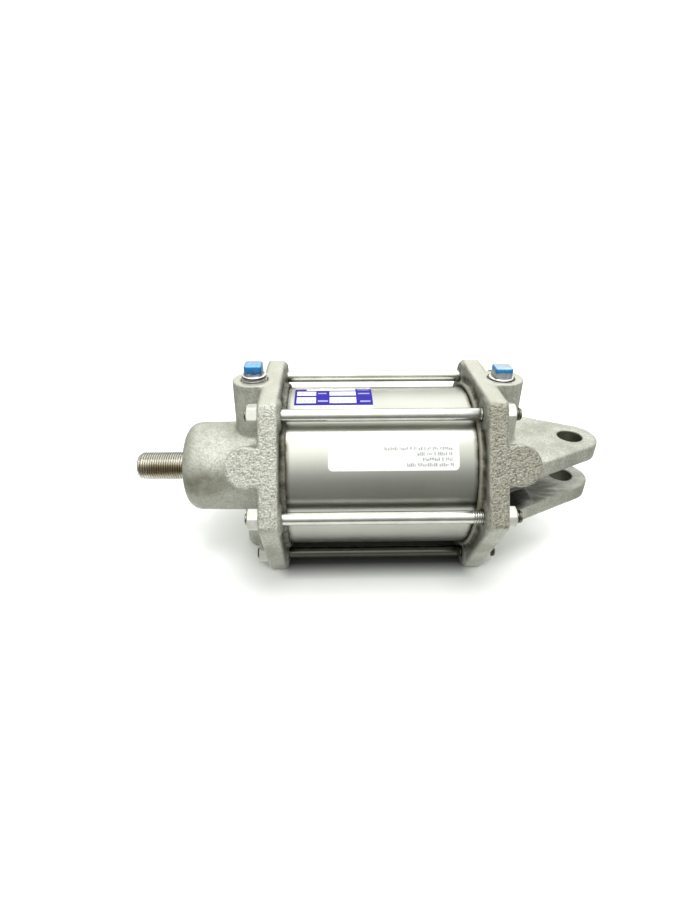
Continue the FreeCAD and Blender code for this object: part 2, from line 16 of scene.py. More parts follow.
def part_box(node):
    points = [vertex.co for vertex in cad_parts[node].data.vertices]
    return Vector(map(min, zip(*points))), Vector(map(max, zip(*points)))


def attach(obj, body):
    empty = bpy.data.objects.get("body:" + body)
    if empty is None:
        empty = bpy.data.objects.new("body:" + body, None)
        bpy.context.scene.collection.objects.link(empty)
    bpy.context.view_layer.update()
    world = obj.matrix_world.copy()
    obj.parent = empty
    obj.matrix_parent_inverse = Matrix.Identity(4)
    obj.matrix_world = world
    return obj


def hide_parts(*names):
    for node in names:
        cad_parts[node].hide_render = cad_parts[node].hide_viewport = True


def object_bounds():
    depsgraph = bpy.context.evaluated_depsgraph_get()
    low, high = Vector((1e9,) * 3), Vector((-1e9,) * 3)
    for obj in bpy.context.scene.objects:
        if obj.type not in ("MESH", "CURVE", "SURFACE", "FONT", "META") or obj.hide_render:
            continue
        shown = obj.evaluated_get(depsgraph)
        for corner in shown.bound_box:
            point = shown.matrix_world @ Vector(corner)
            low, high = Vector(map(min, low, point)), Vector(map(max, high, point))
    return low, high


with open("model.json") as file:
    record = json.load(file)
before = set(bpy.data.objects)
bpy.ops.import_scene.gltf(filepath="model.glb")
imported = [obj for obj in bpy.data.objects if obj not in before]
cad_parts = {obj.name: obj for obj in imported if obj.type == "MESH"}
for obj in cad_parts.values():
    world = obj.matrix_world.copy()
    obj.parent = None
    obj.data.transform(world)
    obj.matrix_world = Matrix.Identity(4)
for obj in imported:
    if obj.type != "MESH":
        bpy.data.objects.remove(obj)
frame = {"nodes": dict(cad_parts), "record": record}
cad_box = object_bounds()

scene = bpy.context.scene

MM = 0.001
INCH = 0.0254
SEED = 7

# Threads: pitches, depth as a share of one, and crest and flank as shares of half of one
ROD_PITCH = INCH / 16
TIE_PITCH = INCH / 18
PIPE_PITCH = INCH / 18
THREAD_DEPTH_SHARE = 0.6
THREAD_CREST = 0.38
THREAD_FLANK = 0.50
RINGS_PER_PITCH = 12
ROD_THREAD_LENGTH = 32 * MM
ROD_END_TIE_THREAD = 14 * MM
CAP_END_TIE_THREADS = (30 * MM, 25 * MM, 24 * MM, 26 * MM, 24 * MM, 25 * MM)

# Angle of the band of brown film on the rod's thread, darkened as a painted reflection
ROD_DARK_BAND_ANGLE = 13

# Steps round the tie rods, and round the rod, the nuts, the plugs and the stage
TIE_SEGMENTS = 48
ROUND_SEGMENTS = 96
TIE_CHAMFER = 0.7 * MM

# Castings
CAST_VOXEL = 0.95 * MM
CAST_SMOOTH_STEPS = 3
COARSE_DEPTH = 0.42 * MM
FINE_DEPTH = 0.13 * MM
SWELL_DEPTH = 0.16 * MM
# Features per metre: two sizes of pebbles, the grain elsewhere, and the swells
PEBBLES = 1150
BIG_PEBBLES = 520
GRAIN = 620
SWELLS = 42
BOSS_ANGLES = (30.0, 150.0, 270.0)
COLLAR_HEIGHT = 3.5 * MM
COLLAR_RADII = (58 * MM, 63 * MM)
SLOT_HALF = 9.7 * MM
# Where along X the oil and painted shade on the clevis thin out, and where the painted shade at its root
# does
OIL_SHADE_THINS = (-14 * MM, 6 * MM)
ROOT_SHADE_THINS = (-46 * MM, -20 * MM)
# Painted shade on the rod end, a dark patch: place behind the nose, half its length, angle and half its
# width
DARK_PATCH_PLACE = 15 * MM
DARK_PATCH_REACH = 19 * MM
DARK_PATCH_ANGLE = 7
DARK_PATCH_SPREAD = 23

# Nuts and plugs
NUT_FLATS = INCH / 2
NUT_CORNER_SHARE = 0.965
NUT_FACE_SHARE = 0.95
NUT_SEAT_SHARE = 0.97
NUT_EASE = 0.25 * MM
NUT_BORE_EASE = 0.5 * MM
NUT_CHAMFER = math.radians(30)
ROD_END_NUT_TURNS = (5, 35, 12, -6, 3, 20)
CAP_END_NUT_TURNS = (5, -13, 14, 4, 22, -3)
PLUG_HEAD_HALF = 7 / 32 * INCH
PLUG_HEAD_HEIGHT = 6.8 * MM
PLUG_CORNER = 1.5 * MM
PLUG_EDGE = 0.9 * MM
PLUG_SHANK_RADIUS = 8.5 * MM
PLUG_LIP_RADIUS = 7.75 * MM
PLUG_TAPER = 0.1
PLUG_CROWN = 0.25 * MM
# The lip over the thread, as (drop below the collar, inset) in mm
PLUG_LIP = ((0.55, 0.0), (0.3, 0.12), (0.08, 0.45), (0.0, 0.8))

# Barrel, name plate and label
BARREL_WALL = INCH / 8
BARREL_SEGMENTS = 256
PLATE_THICKNESS = 0.45 * MM
PLATE_CORNER = 0.8 * MM
PLATE_LOWER_MARGIN = 0.13
PLATE_UPPER_MARGIN = 0.16
LABEL_THICKNESS = 0.2 * MM
LABEL_CORNER = 2.8 * MM
DASH_THICKNESS = 0.02 * MM
# Rows of dashes: where each starts along the label, then shares of its height
DASH_ROWS = (0.43, 0.68, 0.72, 0.60)
DASH_LAST_START = 0.95
DASH_END = 0.955
DASH_FIRST_TOP = 0.28
DASH_ROW_STEP = 0.165
DASH_HEIGHT = 0.105
DASH_WIDTHS = (0.5, 1.2)
DASH_GAPS = (0.25, 0.3, 0.4, 1.2)

# Camera: its place from the middle of the object's box, and where it points
CAMERA_PLACE = Vector((-0.0252, -0.3110, 0.1866))
CAMERA_DIP = math.radians(30.13)
CAMERA_TURN = math.radians(-0.973)
CAMERA_LENS = 20.72

# Far lamp overhead: azimuth from the front, elevation, how wide it looks, and strength
LAMP_PLACE = (20, 78)
LAMP_SPREAD = 24
LAMP_STRENGTH = 1.2

# Room light: dim surround, then broad lights as (azimuth from the front, elevation, strength)
ROOM_GLOW = 0.32
ROOM_LIGHTS = ((-8, 58, 2.5), (170, 52, 2.25))
ROOM_LIGHT_FOCUS = 6.0

# Stage
STAGE_RADIUS = 6.0
TABLE_RADIUS = 4.0
PAPER_RADIUS = 0.193
# The painted contact shadow under the barrel: how softly it ends, and where its sides start and end
SHADE_EDGE = 4 * MM
SHADE_HALF_WIDTHS = (30 * MM, 47 * MM)


# Frame measurements

def box(node):
    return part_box(node)


def middle(node):
    low, high = box(node)
    return (low + high) / 2


BARREL_RADIUS = box("barrel_tube")[1].z
ROD_RADIUS = box("piston_rod")[1].z
TIE_RADIUS = (box("tie_rod_1")[1].z - box("tie_rod_1")[0].z) / 2
TIE_CIRCLE = -middle("tie_rod_1").y
APOTHEM = -box("cap_end_head")[0].z
PORT_FACE_Z = box("cap_end_head")[1].z
FLOOR_Z = cad_box[0].z
MOUNTS = {mount["name"]: mount for mount in frame["record"]["mounts"]}
PIN_RADIUS = MOUNTS["clevis_pin_bore"]["dims"]["r_mm"] * MM


def radial(angle_degrees):
    """Unit vector away from the axis at this angle from the front upwards."""
    angle = math.radians(angle_degrees)
    return Vector((0, -math.cos(angle), math.sin(angle)))


def off_axis(x, radius, turn):
    """A point around the axis, at a turn in radians from the front upwards."""
    return Vector((x, -radius * math.cos(turn), radius * math.sin(turn)))


def full_turn(count):
    """Equal steps round a circle, in radians."""
    return [math.tau * step / count for step in range(count)]


def smoothstep(low, high, value):
    t = np.clip((value - low) / (high - low), 0, 1)
    return t * t * (3 - 2 * t)


# Meshes

def in_scene(name, data):
    obj = bpy.data.objects.new(name, data)
    scene.collection.objects.link(obj)
    return obj


def new_object(name, mesh, smooth=True):
    obj = in_scene(name, mesh)
    if smooth:
        mesh.polygons.foreach_set("use_smooth", [True] * len(mesh.polygons))
    return obj


def edit_mesh(mesh, change):
    """Runs change on the mesh in its editable form."""
    bm = bmesh.new()
    bm.from_mesh(mesh)
    change(bm)
    bm.to_mesh(mesh)
    bm.free()


def grid_mesh(name, rings, looped=False):
    """A mesh from equal rings of points. Ends get a fan, or the last ring joins the first."""
    count = len(rings[0])
    points = [point for ring in rings for point in ring]
    nexts = [(j + 1) % count for j in range(count)]
    faces = []
    for i in range(len(rings) if looped else len(rings) - 1):
        a = i * count
        b = (i + 1) % len(rings) * count
        faces += [(a + j, a + k, b + k, b + j) for j, k in enumerate(nexts)]
    if not looped:
        for ring_index, flip in ((0, True), (len(rings) - 1, False)):
            hub = len(points)
            points.append(sum(rings[ring_index], Vector()) / count)
            start = ring_index * count
            for j, k in enumerate(nexts):
                faces.append((hub, start + k, start + j) if flip else (hub, start + j, start + k))
    mesh = bpy.data.meshes.new(name)
    mesh.from_pydata([tuple(p) for p in points], [], faces)
    edit_mesh(mesh, lambda bm: bmesh.ops.recalc_face_normals(bm, faces=bm.faces))
    return mesh


def keep_edges_sharp(obj, angle_degrees):
    """Smooth shading that keeps edges above this angle crisp."""
    limit = math.radians(angle_degrees)

    def mark(bm):
        for edge in bm.edges:
            edge.smooth = len(edge.link_faces) == 2 and edge.calc_face_angle(0) < limit

    edit_mesh(obj.data, mark)


def thread_depth(along, turn, pitch):
    """Depth below the crest, at a distance along the thread and a turn in radians."""
    phase = (along / pitch - turn / math.tau) % 1.0
    wedge = abs(phase * 2 - 1)
    return THREAD_DEPTH_SHARE * pitch * min(max((wedge - THREAD_CREST) / THREAD_FLANK, 0), 1)


def stations(low, high, step):
    """Even places from low to high, no further apart than step."""
    count = max(2, math.ceil((high - low) / step) + 1)
    return [low + (high - low) * i / (count - 1) for i in range(count)]


def turned_bar(name, axis_point, outline, threads, segments):
    """A bar along X from an (x, radius) outline. threads lists (low x, high x, pitch) stretches."""
    outline_x, outline_r = zip(*outline)
    xs = set(outline_x)
    for low, high, pitch in threads:
        xs.update(stations(low, high, pitch / RINGS_PER_PITCH))
    xs.update(stations(outline[0][0], outline[-1][0], 12 * MM))
    rings = []
    for x in sorted(xs):
        radius = float(np.interp(x, outline_x, outline_r))
        ring = []
        for turn in full_turn(segments):
            depth = 0
            for low, high, pitch in threads:
                if low <= x <= high:
                    fade = min(1, (x - low) / pitch, (high - x) / pitch)
                    depth = thread_depth(x, turn, pitch) * max(fade, 0)
            reach = min(radius, max(radius - depth, 0.2 * radius))
            ring.append(axis_point + off_axis(x, reach, turn))
        rings.append(ring)
    return new_object(name, grid_mesh(name, rings))


def hexagon_radius(turn):
    """Distance from a nut's middle to its side at this turn, with its corners eased."""
    third = math.pi / 3
    offset = (turn + third / 2) % third - third / 2
    straight = NUT_FLATS / 2 / math.cos(offset)
    return min(straight, NUT_FLATS / 2 / math.cos(third / 2) * NUT_CORNER_SHARE + NUT_EASE)


def hexagon_nut(centre, x_seat, x_face, nut_turn):
    """Rings of a nut: up its sides, over the turned chamfer, and back down its bore."""
    height = abs(x_face - x_seat)
    towards = math.copysign(1, x_face - x_seat)
    corner = NUT_FLATS / 2 / math.cos(math.pi / 6)
    face = NUT_FLATS / 2 * NUT_FACE_SHARE
    drop = (corner - face) * math.tan(NUT_CHAMFER)

    def ring(level, limit):
        x = x_seat + towards * level
        return [centre + off_axis(x, min(hexagon_radius(turn - nut_turn), limit), turn)
                for turn in full_turn(ROUND_SEGMENTS)]

    rings = [ring(0, NUT_FLATS / 2 * NUT_SEAT_SHARE), ring(NUT_EASE, corner), ring(height - drop, corner)]
    for share in (0.25, 0.5, 0.75, 1.0):
        rings.append(ring(height - drop * (1 - share), corner + (face - corner) * share))
    rings += [ring(height, face - NUT_EASE), ring(height, TIE_RADIUS + NUT_BORE_EASE)]
    rings += [ring(height - NUT_BORE_EASE, TIE_RADIUS), ring(0, TIE_RADIUS)]
    return rings


def nut_set(name, node, outward, nut_turns):
    """Six nuts in one mesh, one on each tie rod, each turned as it was left by the wrench.

    outward is the way the nuts point along X.
    """
    low, high = box(node)
    seat, face = (low, high) if outward > 0 else (high, low)
    whole = bmesh.new()
    for number, nut_turn in enumerate(nut_turns, 1):
        rod = middle("tie_rod_%d" % number)
        rings = hexagon_nut(Vector((0, rod.y, rod.z)), seat.x, face.x, math.radians(nut_turn))
        whole.from_mesh(grid_mesh(name, rings, looped=True))
    mesh = bpy.data.meshes.new(name)
    whole.to_mesh(mesh)
    whole.free()
    obj = new_object(name, mesh)
    keep_edges_sharp(obj, 20)
    return obj


def square_radius(turn):
    """Distance from a plug's middle to its head's side at this turn, with the corners rounded."""
    quarter = math.pi / 2
    offset = abs((turn + quarter / 2) % quarter - quarter / 2)
    inner = PLUG_HEAD_HALF - PLUG_CORNER
    if offset <= math.atan2(inner, PLUG_HEAD_HALF):
        return PLUG_HEAD_HALF / math.cos(offset)
    along = inner * (math.cos(offset) + math.sin(offset))
    return along + math.sqrt(max(along * along - 2 * inner * inner + PLUG_CORNER * PLUG_CORNER, 0))


def port_plug(name, node):
    """Pipe plug: threaded shank, a chamfered collar and a square head with a crowned top."""
    low, high = box(node)
    centre = middle(node)
    collar_z = high.z - PLUG_HEAD_HEIGHT
    shoulder_z = high.z - PLUG_CROWN

    def ring(z, radius_at):
        return [Vector((centre.x - radius_at(t) * math.cos(t), centre.y - radius_at(t) * math.sin(t), z))
                for t in full_turn(ROUND_SEGMENTS)]

    rings = []
    thread_top = collar_z - 0.8 * MM
    for z in stations(low.z, thread_top, PIPE_PITCH / RINGS_PER_PITCH):
        fade = min(1, (thread_top - z) / (0.5 * PIPE_PITCH), (z - low.z) / PIPE_PITCH)
        shank = min(PLUG_LIP_RADIUS + PLUG_TAPER * (collar_z - z), PLUG_SHANK_RADIUS)
        rings.append(ring(z, lambda t: shank - thread_depth(z - low.z, t, PIPE_PITCH) * max(fade, 0)))
    for drop, inset in PLUG_LIP:
        rings.append(ring(collar_z - drop * MM, lambda t: PLUG_LIP_RADIUS - inset * MM))
    lip_top_radius = PLUG_LIP_RADIUS - PLUG_LIP[-1][1] * MM
    for share in (0.35, 0.7, 1.0):
        rings.append(ring(collar_z + 0.5 * MM * share * share,
                          lambda t: lip_top_radius * (1 - share) + square_radius(t) * share))
    for step in range(5):
        bend = math.pi / 2 * step / 4
        inset = PLUG_EDGE * (1 - math.cos(bend))
        z = shoulder_z - PLUG_EDGE * (1 - math.sin(bend))
        rings.append(ring(z, lambda t: square_radius(t) - inset))
    for share in (0.7, 0.4, 0.15):
        z = shoulder_z + PLUG_CROWN * (1 - share * share)
        rings.append(ring(z, lambda t: square_radius(t) * share))
    obj = new_object(name, grid_mesh(name, rings))
    keep_edges_sharp(obj, 50)
    return obj


def noise_at(points, scale, offset=0.0):
    """Smooth noise from -1 to 1 at each point; scale is in features per metre."""
    shift = Vector((offset, offset * 1.7, offset * 0.6))
    return np.array([noise.noise(Vector(p) * scale + shift) for p in points])


def points_and_normals(mesh):
    arrays = []
    for field in ("co", "normal"):
        values = np.zeros(len(mesh.vertices) * 3)
        mesh.vertices.foreach_get(field, values)
        arrays.append(values.reshape(-1, 3))
    return arrays


def coarse_zone(points, normals):
    """1 on the flats and boss faces that were left as rough as the sand, 0 elsewhere."""
    zone = np.zeros(len(points))
    for angle in BOSS_ANGLES:
        way = np.array(radial(angle))
        facing = smoothstep(0.75, 0.92, normals @ way)
        outermost = smoothstep(APOTHEM - 4 * MM, APOTHEM - 1.5 * MM, points @ way)
        zone = np.maximum(zone, facing * outermost)
    return zone


def refine(mesh, chosen):
    """Halves the mesh's faces around the chosen vertices."""
    def halve(bm):
        bm.verts.ensure_lookup_table()
        edges = {edge for index in np.nonzero(chosen)[0] for edge in bm.verts[index].link_edges}
        bmesh.ops.subdivide_edges(bm, edges=sorted(edges, key=lambda edge: edge.index), cuts=1,
                                  use_grid_fill=True)

    edit_mesh(mesh, halve)


def cast_skin(name, node):
    """An even mesh over a CAD head with its edges softened, finer where it is left rough."""
    mesh = frame["nodes"][node].data.copy()
    edit_mesh(mesh, lambda bm: bmesh.ops.remove_doubles(bm, verts=bm.verts, dist=0.002 * MM))
    raw = in_scene(name + "_raw", mesh)
    remesh = raw.modifiers.new("skin", "REMESH")
    remesh.mode = "VOXEL"
    remesh.voxel_size = CAST_VOXEL
    soften = raw.modifiers.new("soften", "SMOOTH")
    soften.factor = 0.5
    soften.iterations = CAST_SMOOTH_STEPS
    shaped = raw.evaluated_get(bpy.context.evaluated_depsgraph_get())
    skin = bpy.data.meshes.new_from_object(shaped)
    skin.name = name
    bpy.data.objects.remove(raw)
    refine(skin, coarse_zone(*points_and_normals(skin)) > 0.02)
    return skin


def collar_fields(points, inner_x, outward, lip_clean):
    """The collar's clean lip round the barrel, and the darkening on the face that looks at the barrel,
    part soiling and part painted shade where the plate meets the barrel.
    """
    around = np.hypot(points[:, 1], points[:, 2])
    past_face = (inner_x - points[:, 0]) * outward
    lip = smoothstep(1.3 * MM, 2.2 * MM, past_face) * smoothstep(0.6 * MM, 1.6 * MM, around - BARREL_RADIUS)
    near_barrel = 1 - smoothstep(*COLLAR_RADII, around)
    grime_and_shade = smoothstep(-1.5 * MM, -0.2 * MM, past_face) * (0.4 + 0.6 * near_barrel) * (1 - lip_clean * lip)
    return {"lip": lip, "grime_and_shade": grime_and_shade}


def clevis_fields(points, normals):
    """Oil with painted shade on the walls of the clevis slot, painted shade at its root, and painted
    shade on the walls of the pin bore.
    """
    x = points[:, 0]
    upright = np.abs(normals[:, 2])
    in_slot = 1 - smoothstep(SLOT_HALF + 0.3 * MM, SLOT_HALF + 1.2 * MM, np.abs(points[:, 2]))
    past_plate = smoothstep(1.0 * MM, 4.0 * MM, x - box("cap_end_tie_nuts")[0].x)
    oil_and_shade = in_slot * past_plate * (0.35 + 0.65 * upright) * (1 - 0.6 * smoothstep(*OIL_SHADE_THINS, x))
    deep = in_slot * past_plate * (1 - smoothstep(*ROOT_SHADE_THINS, x))
    bored = 1 - smoothstep(PIN_RADIUS + 0.3 * MM, PIN_RADIUS + 0.9 * MM, np.hypot(x, points[:, 1]))
    bored *= 1 - smoothstep(0.35, 0.75, upright)
    return {"oil_and_shade": oil_and_shade, "deep": deep, "bored": bored}


def dark_patch_field(points, nose_x):
    """Painted shade: a dark patch on the front of the rod end's housing."""
    angle = np.degrees(np.arctan2(points[:, 2], -points[:, 1]))
    along = (points[:, 0] - nose_x - DARK_PATCH_PLACE) / DARK_PATCH_REACH
    return 1 - smoothstep(0.35, 1.1, np.hypot(along, (angle - DARK_PATCH_ANGLE) / DARK_PATCH_SPREAD))


def casting(name, node, outward, lip_clean):
    """A sand-cast skin over a CAD head: softened edges, swells, and pebbles on the bossed flats.

    outward is the way its outer face looks along X, and lip_clean how clean the lip of the collar
    on its inner face is. Fields on its points say where it is rough, machined, dirty and in oil, and
    where painted shade goes.
    """
    low, high = box(node)
    inner_x = low.x + COLLAR_HEIGHT if outward > 0 else high.x - COLLAR_HEIGHT
    skin = cast_skin(name, node)
    points, normals = points_and_normals(skin)
    coarse = coarse_zone(points, normals)
    machined = smoothstep(PORT_FACE_Z - 0.9 * MM, PORT_FACE_Z - 0.4 * MM, points[:, 2])
    nothing = np.zeros(len(points))
    fields = {"coarse": coarse, "machined": machined, "oil_and_shade": nothing, "deep": nothing, "bored": nothing,
              "dark_patch": nothing}
    fields.update(collar_fields(points, inner_x, outward, lip_clean))
    if outward > 0:
        fields.update(clevis_fields(points, normals))
    else:
        fields["dark_patch"] = dark_patch_field(points, low.x)

    pebbles = 0.55 + 0.85 * noise_at(points, PEBBLES) + 0.3 * noise_at(points, BIG_PEBBLES, 4.0)
    pebbles = np.clip(pebbles, 0, 1)
    grain = noise_at(points, GRAIN, 9.0) * 0.5 + 0.5
    swell = noise_at(points, SWELLS, 2.0) * 0.5 + 0.5
    fields["relief"] = coarse * pebbles + (1 - coarse) * grain
    depth = (COARSE_DEPTH * coarse * (1 - pebbles) + FINE_DEPTH * (1 - coarse) * (1 - grain)
             + SWELL_DEPTH * (1 - swell))
    points -= normals * (depth * (1 - machined) * (1 - 0.8 * fields["oil_and_shade"]))[:, None]
    skin.vertices.foreach_set("co", points.ravel())
    for field, values in fields.items():
        layer = skin.attributes.new(field, "FLOAT", "POINT")
        layer.data.foreach_set("value", values.astype(np.float32))
    return new_object(name, skin)


def on_barrel(x, angle_degrees, lift):
    return Vector((x, 0, 0)) + radial(angle_degrees) * (BARREL_RADIUS + lift)


def wrapped_sheet(name, columns, rows, lift, thickness, inset=None):
    """A sheet around the barrel. columns are x places and rows are angles; inset trims a row's ends."""
    points = []
    for level in (lift + thickness, lift):
        for angle in rows:
            trim = inset(angle) if inset else 0
            low, high = columns[0] + trim, columns[-1] - trim
            share = (high - low) / (columns[-1] - columns[0])
            points += [tuple(on_barrel(low + (x - columns[0]) * share, angle, level)) for x in columns]
    wide, tall = len(columns), len(rows)
    under = wide * tall
    starts = [r * wide + c for r in range(tall - 1) for c in range(wide - 1)]
    faces = [(a, a + 1, a + wide + 1, a + wide) for a in starts]
    top_count = len(faces)
    faces += [tuple(under + v for v in reversed(face)) for face in faces[:top_count]]
    edge = [(0, c, 0, c + 1) for c in range(wide - 1)]
    edge += [(tall - 1, c + 1, tall - 1, c) for c in range(wide - 1)]
    edge += [(r + 1, 0, r, 0) for r in range(tall - 1)]
    edge += [(r, wide - 1, r + 1, wide - 1) for r in range(tall - 1)]
    for r1, c1, r2, c2 in edge:
        a, b = r1 * wide + c1, r2 * wide + c2
        faces.append((a, under + a, under + b, b))
    mesh = bpy.data.meshes.new(name)
    mesh.from_pydata(points, [], faces)
    obj = new_object(name, mesh)
    keep_edges_sharp(obj, 40)
    return obj, top_count


def corner_turn(corner):
    """Degrees around the barrel that a corner of this radius takes up."""
    return math.degrees(corner / BARREL_RADIUS)


def rounded_corners(a_low, a_high, corner):
    """Gives how far in a sheet's ends are at an angle, for corners of this radius."""
    turn = corner_turn(corner)

    def inset(angle):
        near = min(angle - a_low, a_high - angle)
        if near >= turn:
            return 0
        gone = 1 - near / turn
        return corner * (1 - math.sqrt(max(0, 1 - gone * gone)))

    return inset


def fill_in(places, step):
    """Adds places between the given ones so that no gap is wider than step."""
    places = sorted(places)
    filled = []
    for low, high in zip(places, places[1:]):
        parts = max(1, math.ceil((high - low) / step))
        filled += [low + (high - low) * i / parts for i in range(parts)]
    return filled + [places[-1]]


# Materials

class Nodes:
    """Writes the node tree of a material or a world as plain calls."""

    def __init__(self, owner, shader, place):
        self.owner = owner
        owner.use_nodes = True
        self.tree = owner.node_tree
        self.shader = self.tree.nodes[shader]
        self.place = self.add("TexCoord").outputs[place]

    def add(self, kind, **inputs):
        node = self.tree.nodes.new("ShaderNode" + kind)
        for key, value in inputs.items():
            self.put(node.inputs[key.replace("_", " ")], value)
        return node

    def put(self, socket, value):
        if isinstance(value, bpy.types.NodeSocket):
            self.tree.links.new(value, socket)
        else:
            socket.default_value = value

    def noise(self, scale, detail=3.0, rough=0.55, stretch=(1, 1, 1)):
        mapping = self.add("Mapping", Vector=self.place, Scale=stretch)
        node = self.add("TexNoise", Vector=mapping.outputs["Vector"], Scale=scale, Detail=detail,
                        Roughness=rough)
        return node.outputs["Fac"]

    def ramp(self, value, *stops):
        node = self.add("ValToRGB", Fac=value)
        points = node.color_ramp.elements
        while len(points) < len(stops):
            points.new(0.5)
        for point, (place, shade) in zip(points, stops):
            point.position = place
            point.color = (*shade, 1) if isinstance(shade, tuple) else (shade, shade, shade, 1)
        return node.outputs["Color"]

    def mix(self, share, a, b):
        node = self.add("Mix")
        node.data_type = "RGBA"
        for index, value in ((0, share), (6, a), (7, b)):
            self.put(node.inputs[index], (*value, 1) if isinstance(value, tuple) else value)
        return node.outputs[2]

    def math(self, kind, a, b=0.0, clamp=True):
        node = self.add("Math")
        node.operation = kind
        node.use_clamp = clamp
        self.put(node.inputs[0], a)
        self.put(node.inputs[1], b)
        return node.outputs[0]

    def times(self, a, b):
        return self.math("MULTIPLY", a, b)

    def along(self, axis):
        """The surface's place along an axis of the frame."""
        return self.add("SeparateXYZ", Vector=self.place).outputs[axis]

    def measure(self, kind, *vectors):
        """The length of a vector, or the dot product of two."""
        node = self.add("VectorMath")
        node.operation = kind
        for socket, vector in zip(node.inputs, vectors):
            self.put(socket, vector)
        return node.outputs["Value"]

    def slope(self, value, low, high):
        """0 at low, 1 at high and straight between them; low may be the larger."""
        return self.add("MapRange", Value=value, From_Min=low, From_Max=high).outputs["Result"]

    def field(self, name):
        node = self.add("Attribute")
        node.attribute_name = name
        return node.outputs["Fac"]

    def spread(self, value, low, high, start=0.3, end=0.7):
        """A colour from low to high as the value goes from start to end."""
        return self.mix(self.ramp(value, (start, 0.0), (end, 1.0)), low, high)

    def sharpness(self):
        return self.add("NewGeometry").outputs["Pointiness"]

    def edges(self):
        """1 on sharp edges, where wear shows."""
        return self.ramp(self.sharpness(), (0.52, 0.0), (0.6, 1.0))

    def crevices(self, low=0.4, high=0.49):
        """1 in grooves and inner corners, for painted shade there."""
        return self.ramp(self.sharpness(), (low, 1.0), (high, 0.0))

    def bump(self, height, strength, distance):
        node = self.add("Bump", Height=height, Strength=strength, Distance=distance)
        self.put(self.shader.inputs["Normal"], node.outputs["Normal"])

    def finish(self, colour, rough, metallic, **more):
        self.put(self.shader.inputs["Base Color"], colour)
        self.put(self.shader.inputs["Roughness"], rough)
        self.shader.inputs["Metallic"].default_value = metallic
        for key, value in more.items():
            self.shader.inputs[key.replace("_", " ")].default_value = value
        return self.owner


def new_material(name):
    return Nodes(bpy.data.materials.new(name), "Principled BSDF", "Object")


def cast_material(name, rough_skin, skin_share, pit_share, rust_share, lip_share):
    """Sand-cast iron under a silver-grey coat. Painted shade darkens its pits, grooves, clevis slot,
    pin bore and a patch on the front of the rod end; where it meets the barrel it is dirty and
    painted into shade, and painted highlights streak the oil in its slot.

    rough_skin is the colour of the flats left as cast and skin_share how much of it shows. pit_share
    is how dark the painted shade in their pits and their dark specks are, rust_share how brown they
    have gone, and lip_share how pale the collar's lip is.
    """
    m = new_material(name)
    coarse = m.field("coarse")
    oil_and_shade = m.field("oil_and_shade")
    base = m.spread(m.noise(48, 4), (0.40, 0.405, 0.35), (0.60, 0.61, 0.545), 0.36, 0.64)
    base = m.mix(m.times(coarse, skin_share), base, rough_skin)
    speckle = m.ramp(m.noise(750, 3, 0.75), (0.40, 1.0), (0.56, 0.0))
    base = m.mix(m.times(speckle, 0.5), base, (0.21, 0.21, 0.165))
    # Painted shade in the pits, the low places of the relief
    pits = m.ramp(m.field("relief"), (0.18, 1.0), (0.52, 0.0))
    pits = m.times(pits, m.math("ADD", m.times(coarse, pit_share), 0.12))
    base = m.mix(pits, base, (0.10, 0.095, 0.07))
    pepper = m.ramp(m.noise(1500, 2, 0.6), (0.40, 1.0), (0.52, 0.0))
    base = m.mix(m.times(m.times(pepper, coarse), pit_share), base, (0.14, 0.13, 0.10))
    rust = m.ramp(m.noise(120, 5, 0.65), (0.55, 0.0), (0.72, 1.0))
    base = m.mix(m.times(m.times(rust, coarse), rust_share), base, (0.36, 0.26, 0.19))
    # Painted shade in grooves and inner corners
    base = m.mix(m.times(m.crevices(), 0.6), base, (0.12, 0.115, 0.08))
    base = m.mix(m.times(m.field("lip"), lip_share), base, (0.31, 0.29, 0.21))
    # Soiling and painted shade on the face by the barrel
    dirt_and_shade = m.times(m.field("grime_and_shade"), m.ramp(m.noise(150, 4), (0.36, 0.65), (0.60, 1.0)))
    base = m.mix(dirt_and_shade, base, (0.042, 0.036, 0.019))
    base = m.mix(m.times(m.field("machined"), 0.75), base, (0.56, 0.55, 0.47))
    # Painted shade: a dark patch on the front of the rod end's housing
    stain = m.times(m.field("dark_patch"), m.ramp(m.noise(95, 4, 0.6), (0.34, 0.35), (0.62, 0.95)))
    base = m.mix(stain, base, (0.18, 0.175, 0.125))
    # Oil in the clevis slot, darkened further as painted shade
    base = m.mix(m.times(oil_and_shade, 0.85), base, (0.18, 0.18, 0.15))
    # Painted highlights: bright streaks along the oil in the slot
    streaks = m.ramp(m.noise(1.0, 3, 0.5, stretch=(42, 150, 150)), (0.46, 0.0), (0.64, 1.0))
    base = m.mix(m.times(m.times(streaks, oil_and_shade), 0.75), base, (0.66, 0.67, 0.62))
    # Painted shade at the root of the slot
    root_shade = m.times(m.field("deep"), m.ramp(m.noise(60, 2), (0.3, 0.85), (0.65, 1.0)))
    base = m.mix(root_shade, base, (0.022, 0.024, 0.016))
    # Painted shade on the walls of the pin bore
    base = m.mix(m.field("bored"), base, (0.085, 0.085, 0.06))
    grit = m.times(m.noise(480, 3), 0.8)
    m.bump(m.math("ADD", m.noise(1500, 2, 0.7), grit, clamp=False), 0.7, 0.00025)
    rough = m.mix(oil_and_shade, m.ramp(m.noise(300, 3), (0.3, 0.40), (0.7, 0.58)), (0.27, 0.27, 0.27))
    return m.finish(base, rough, 0.4, Specular_IOR_Level=0.5)


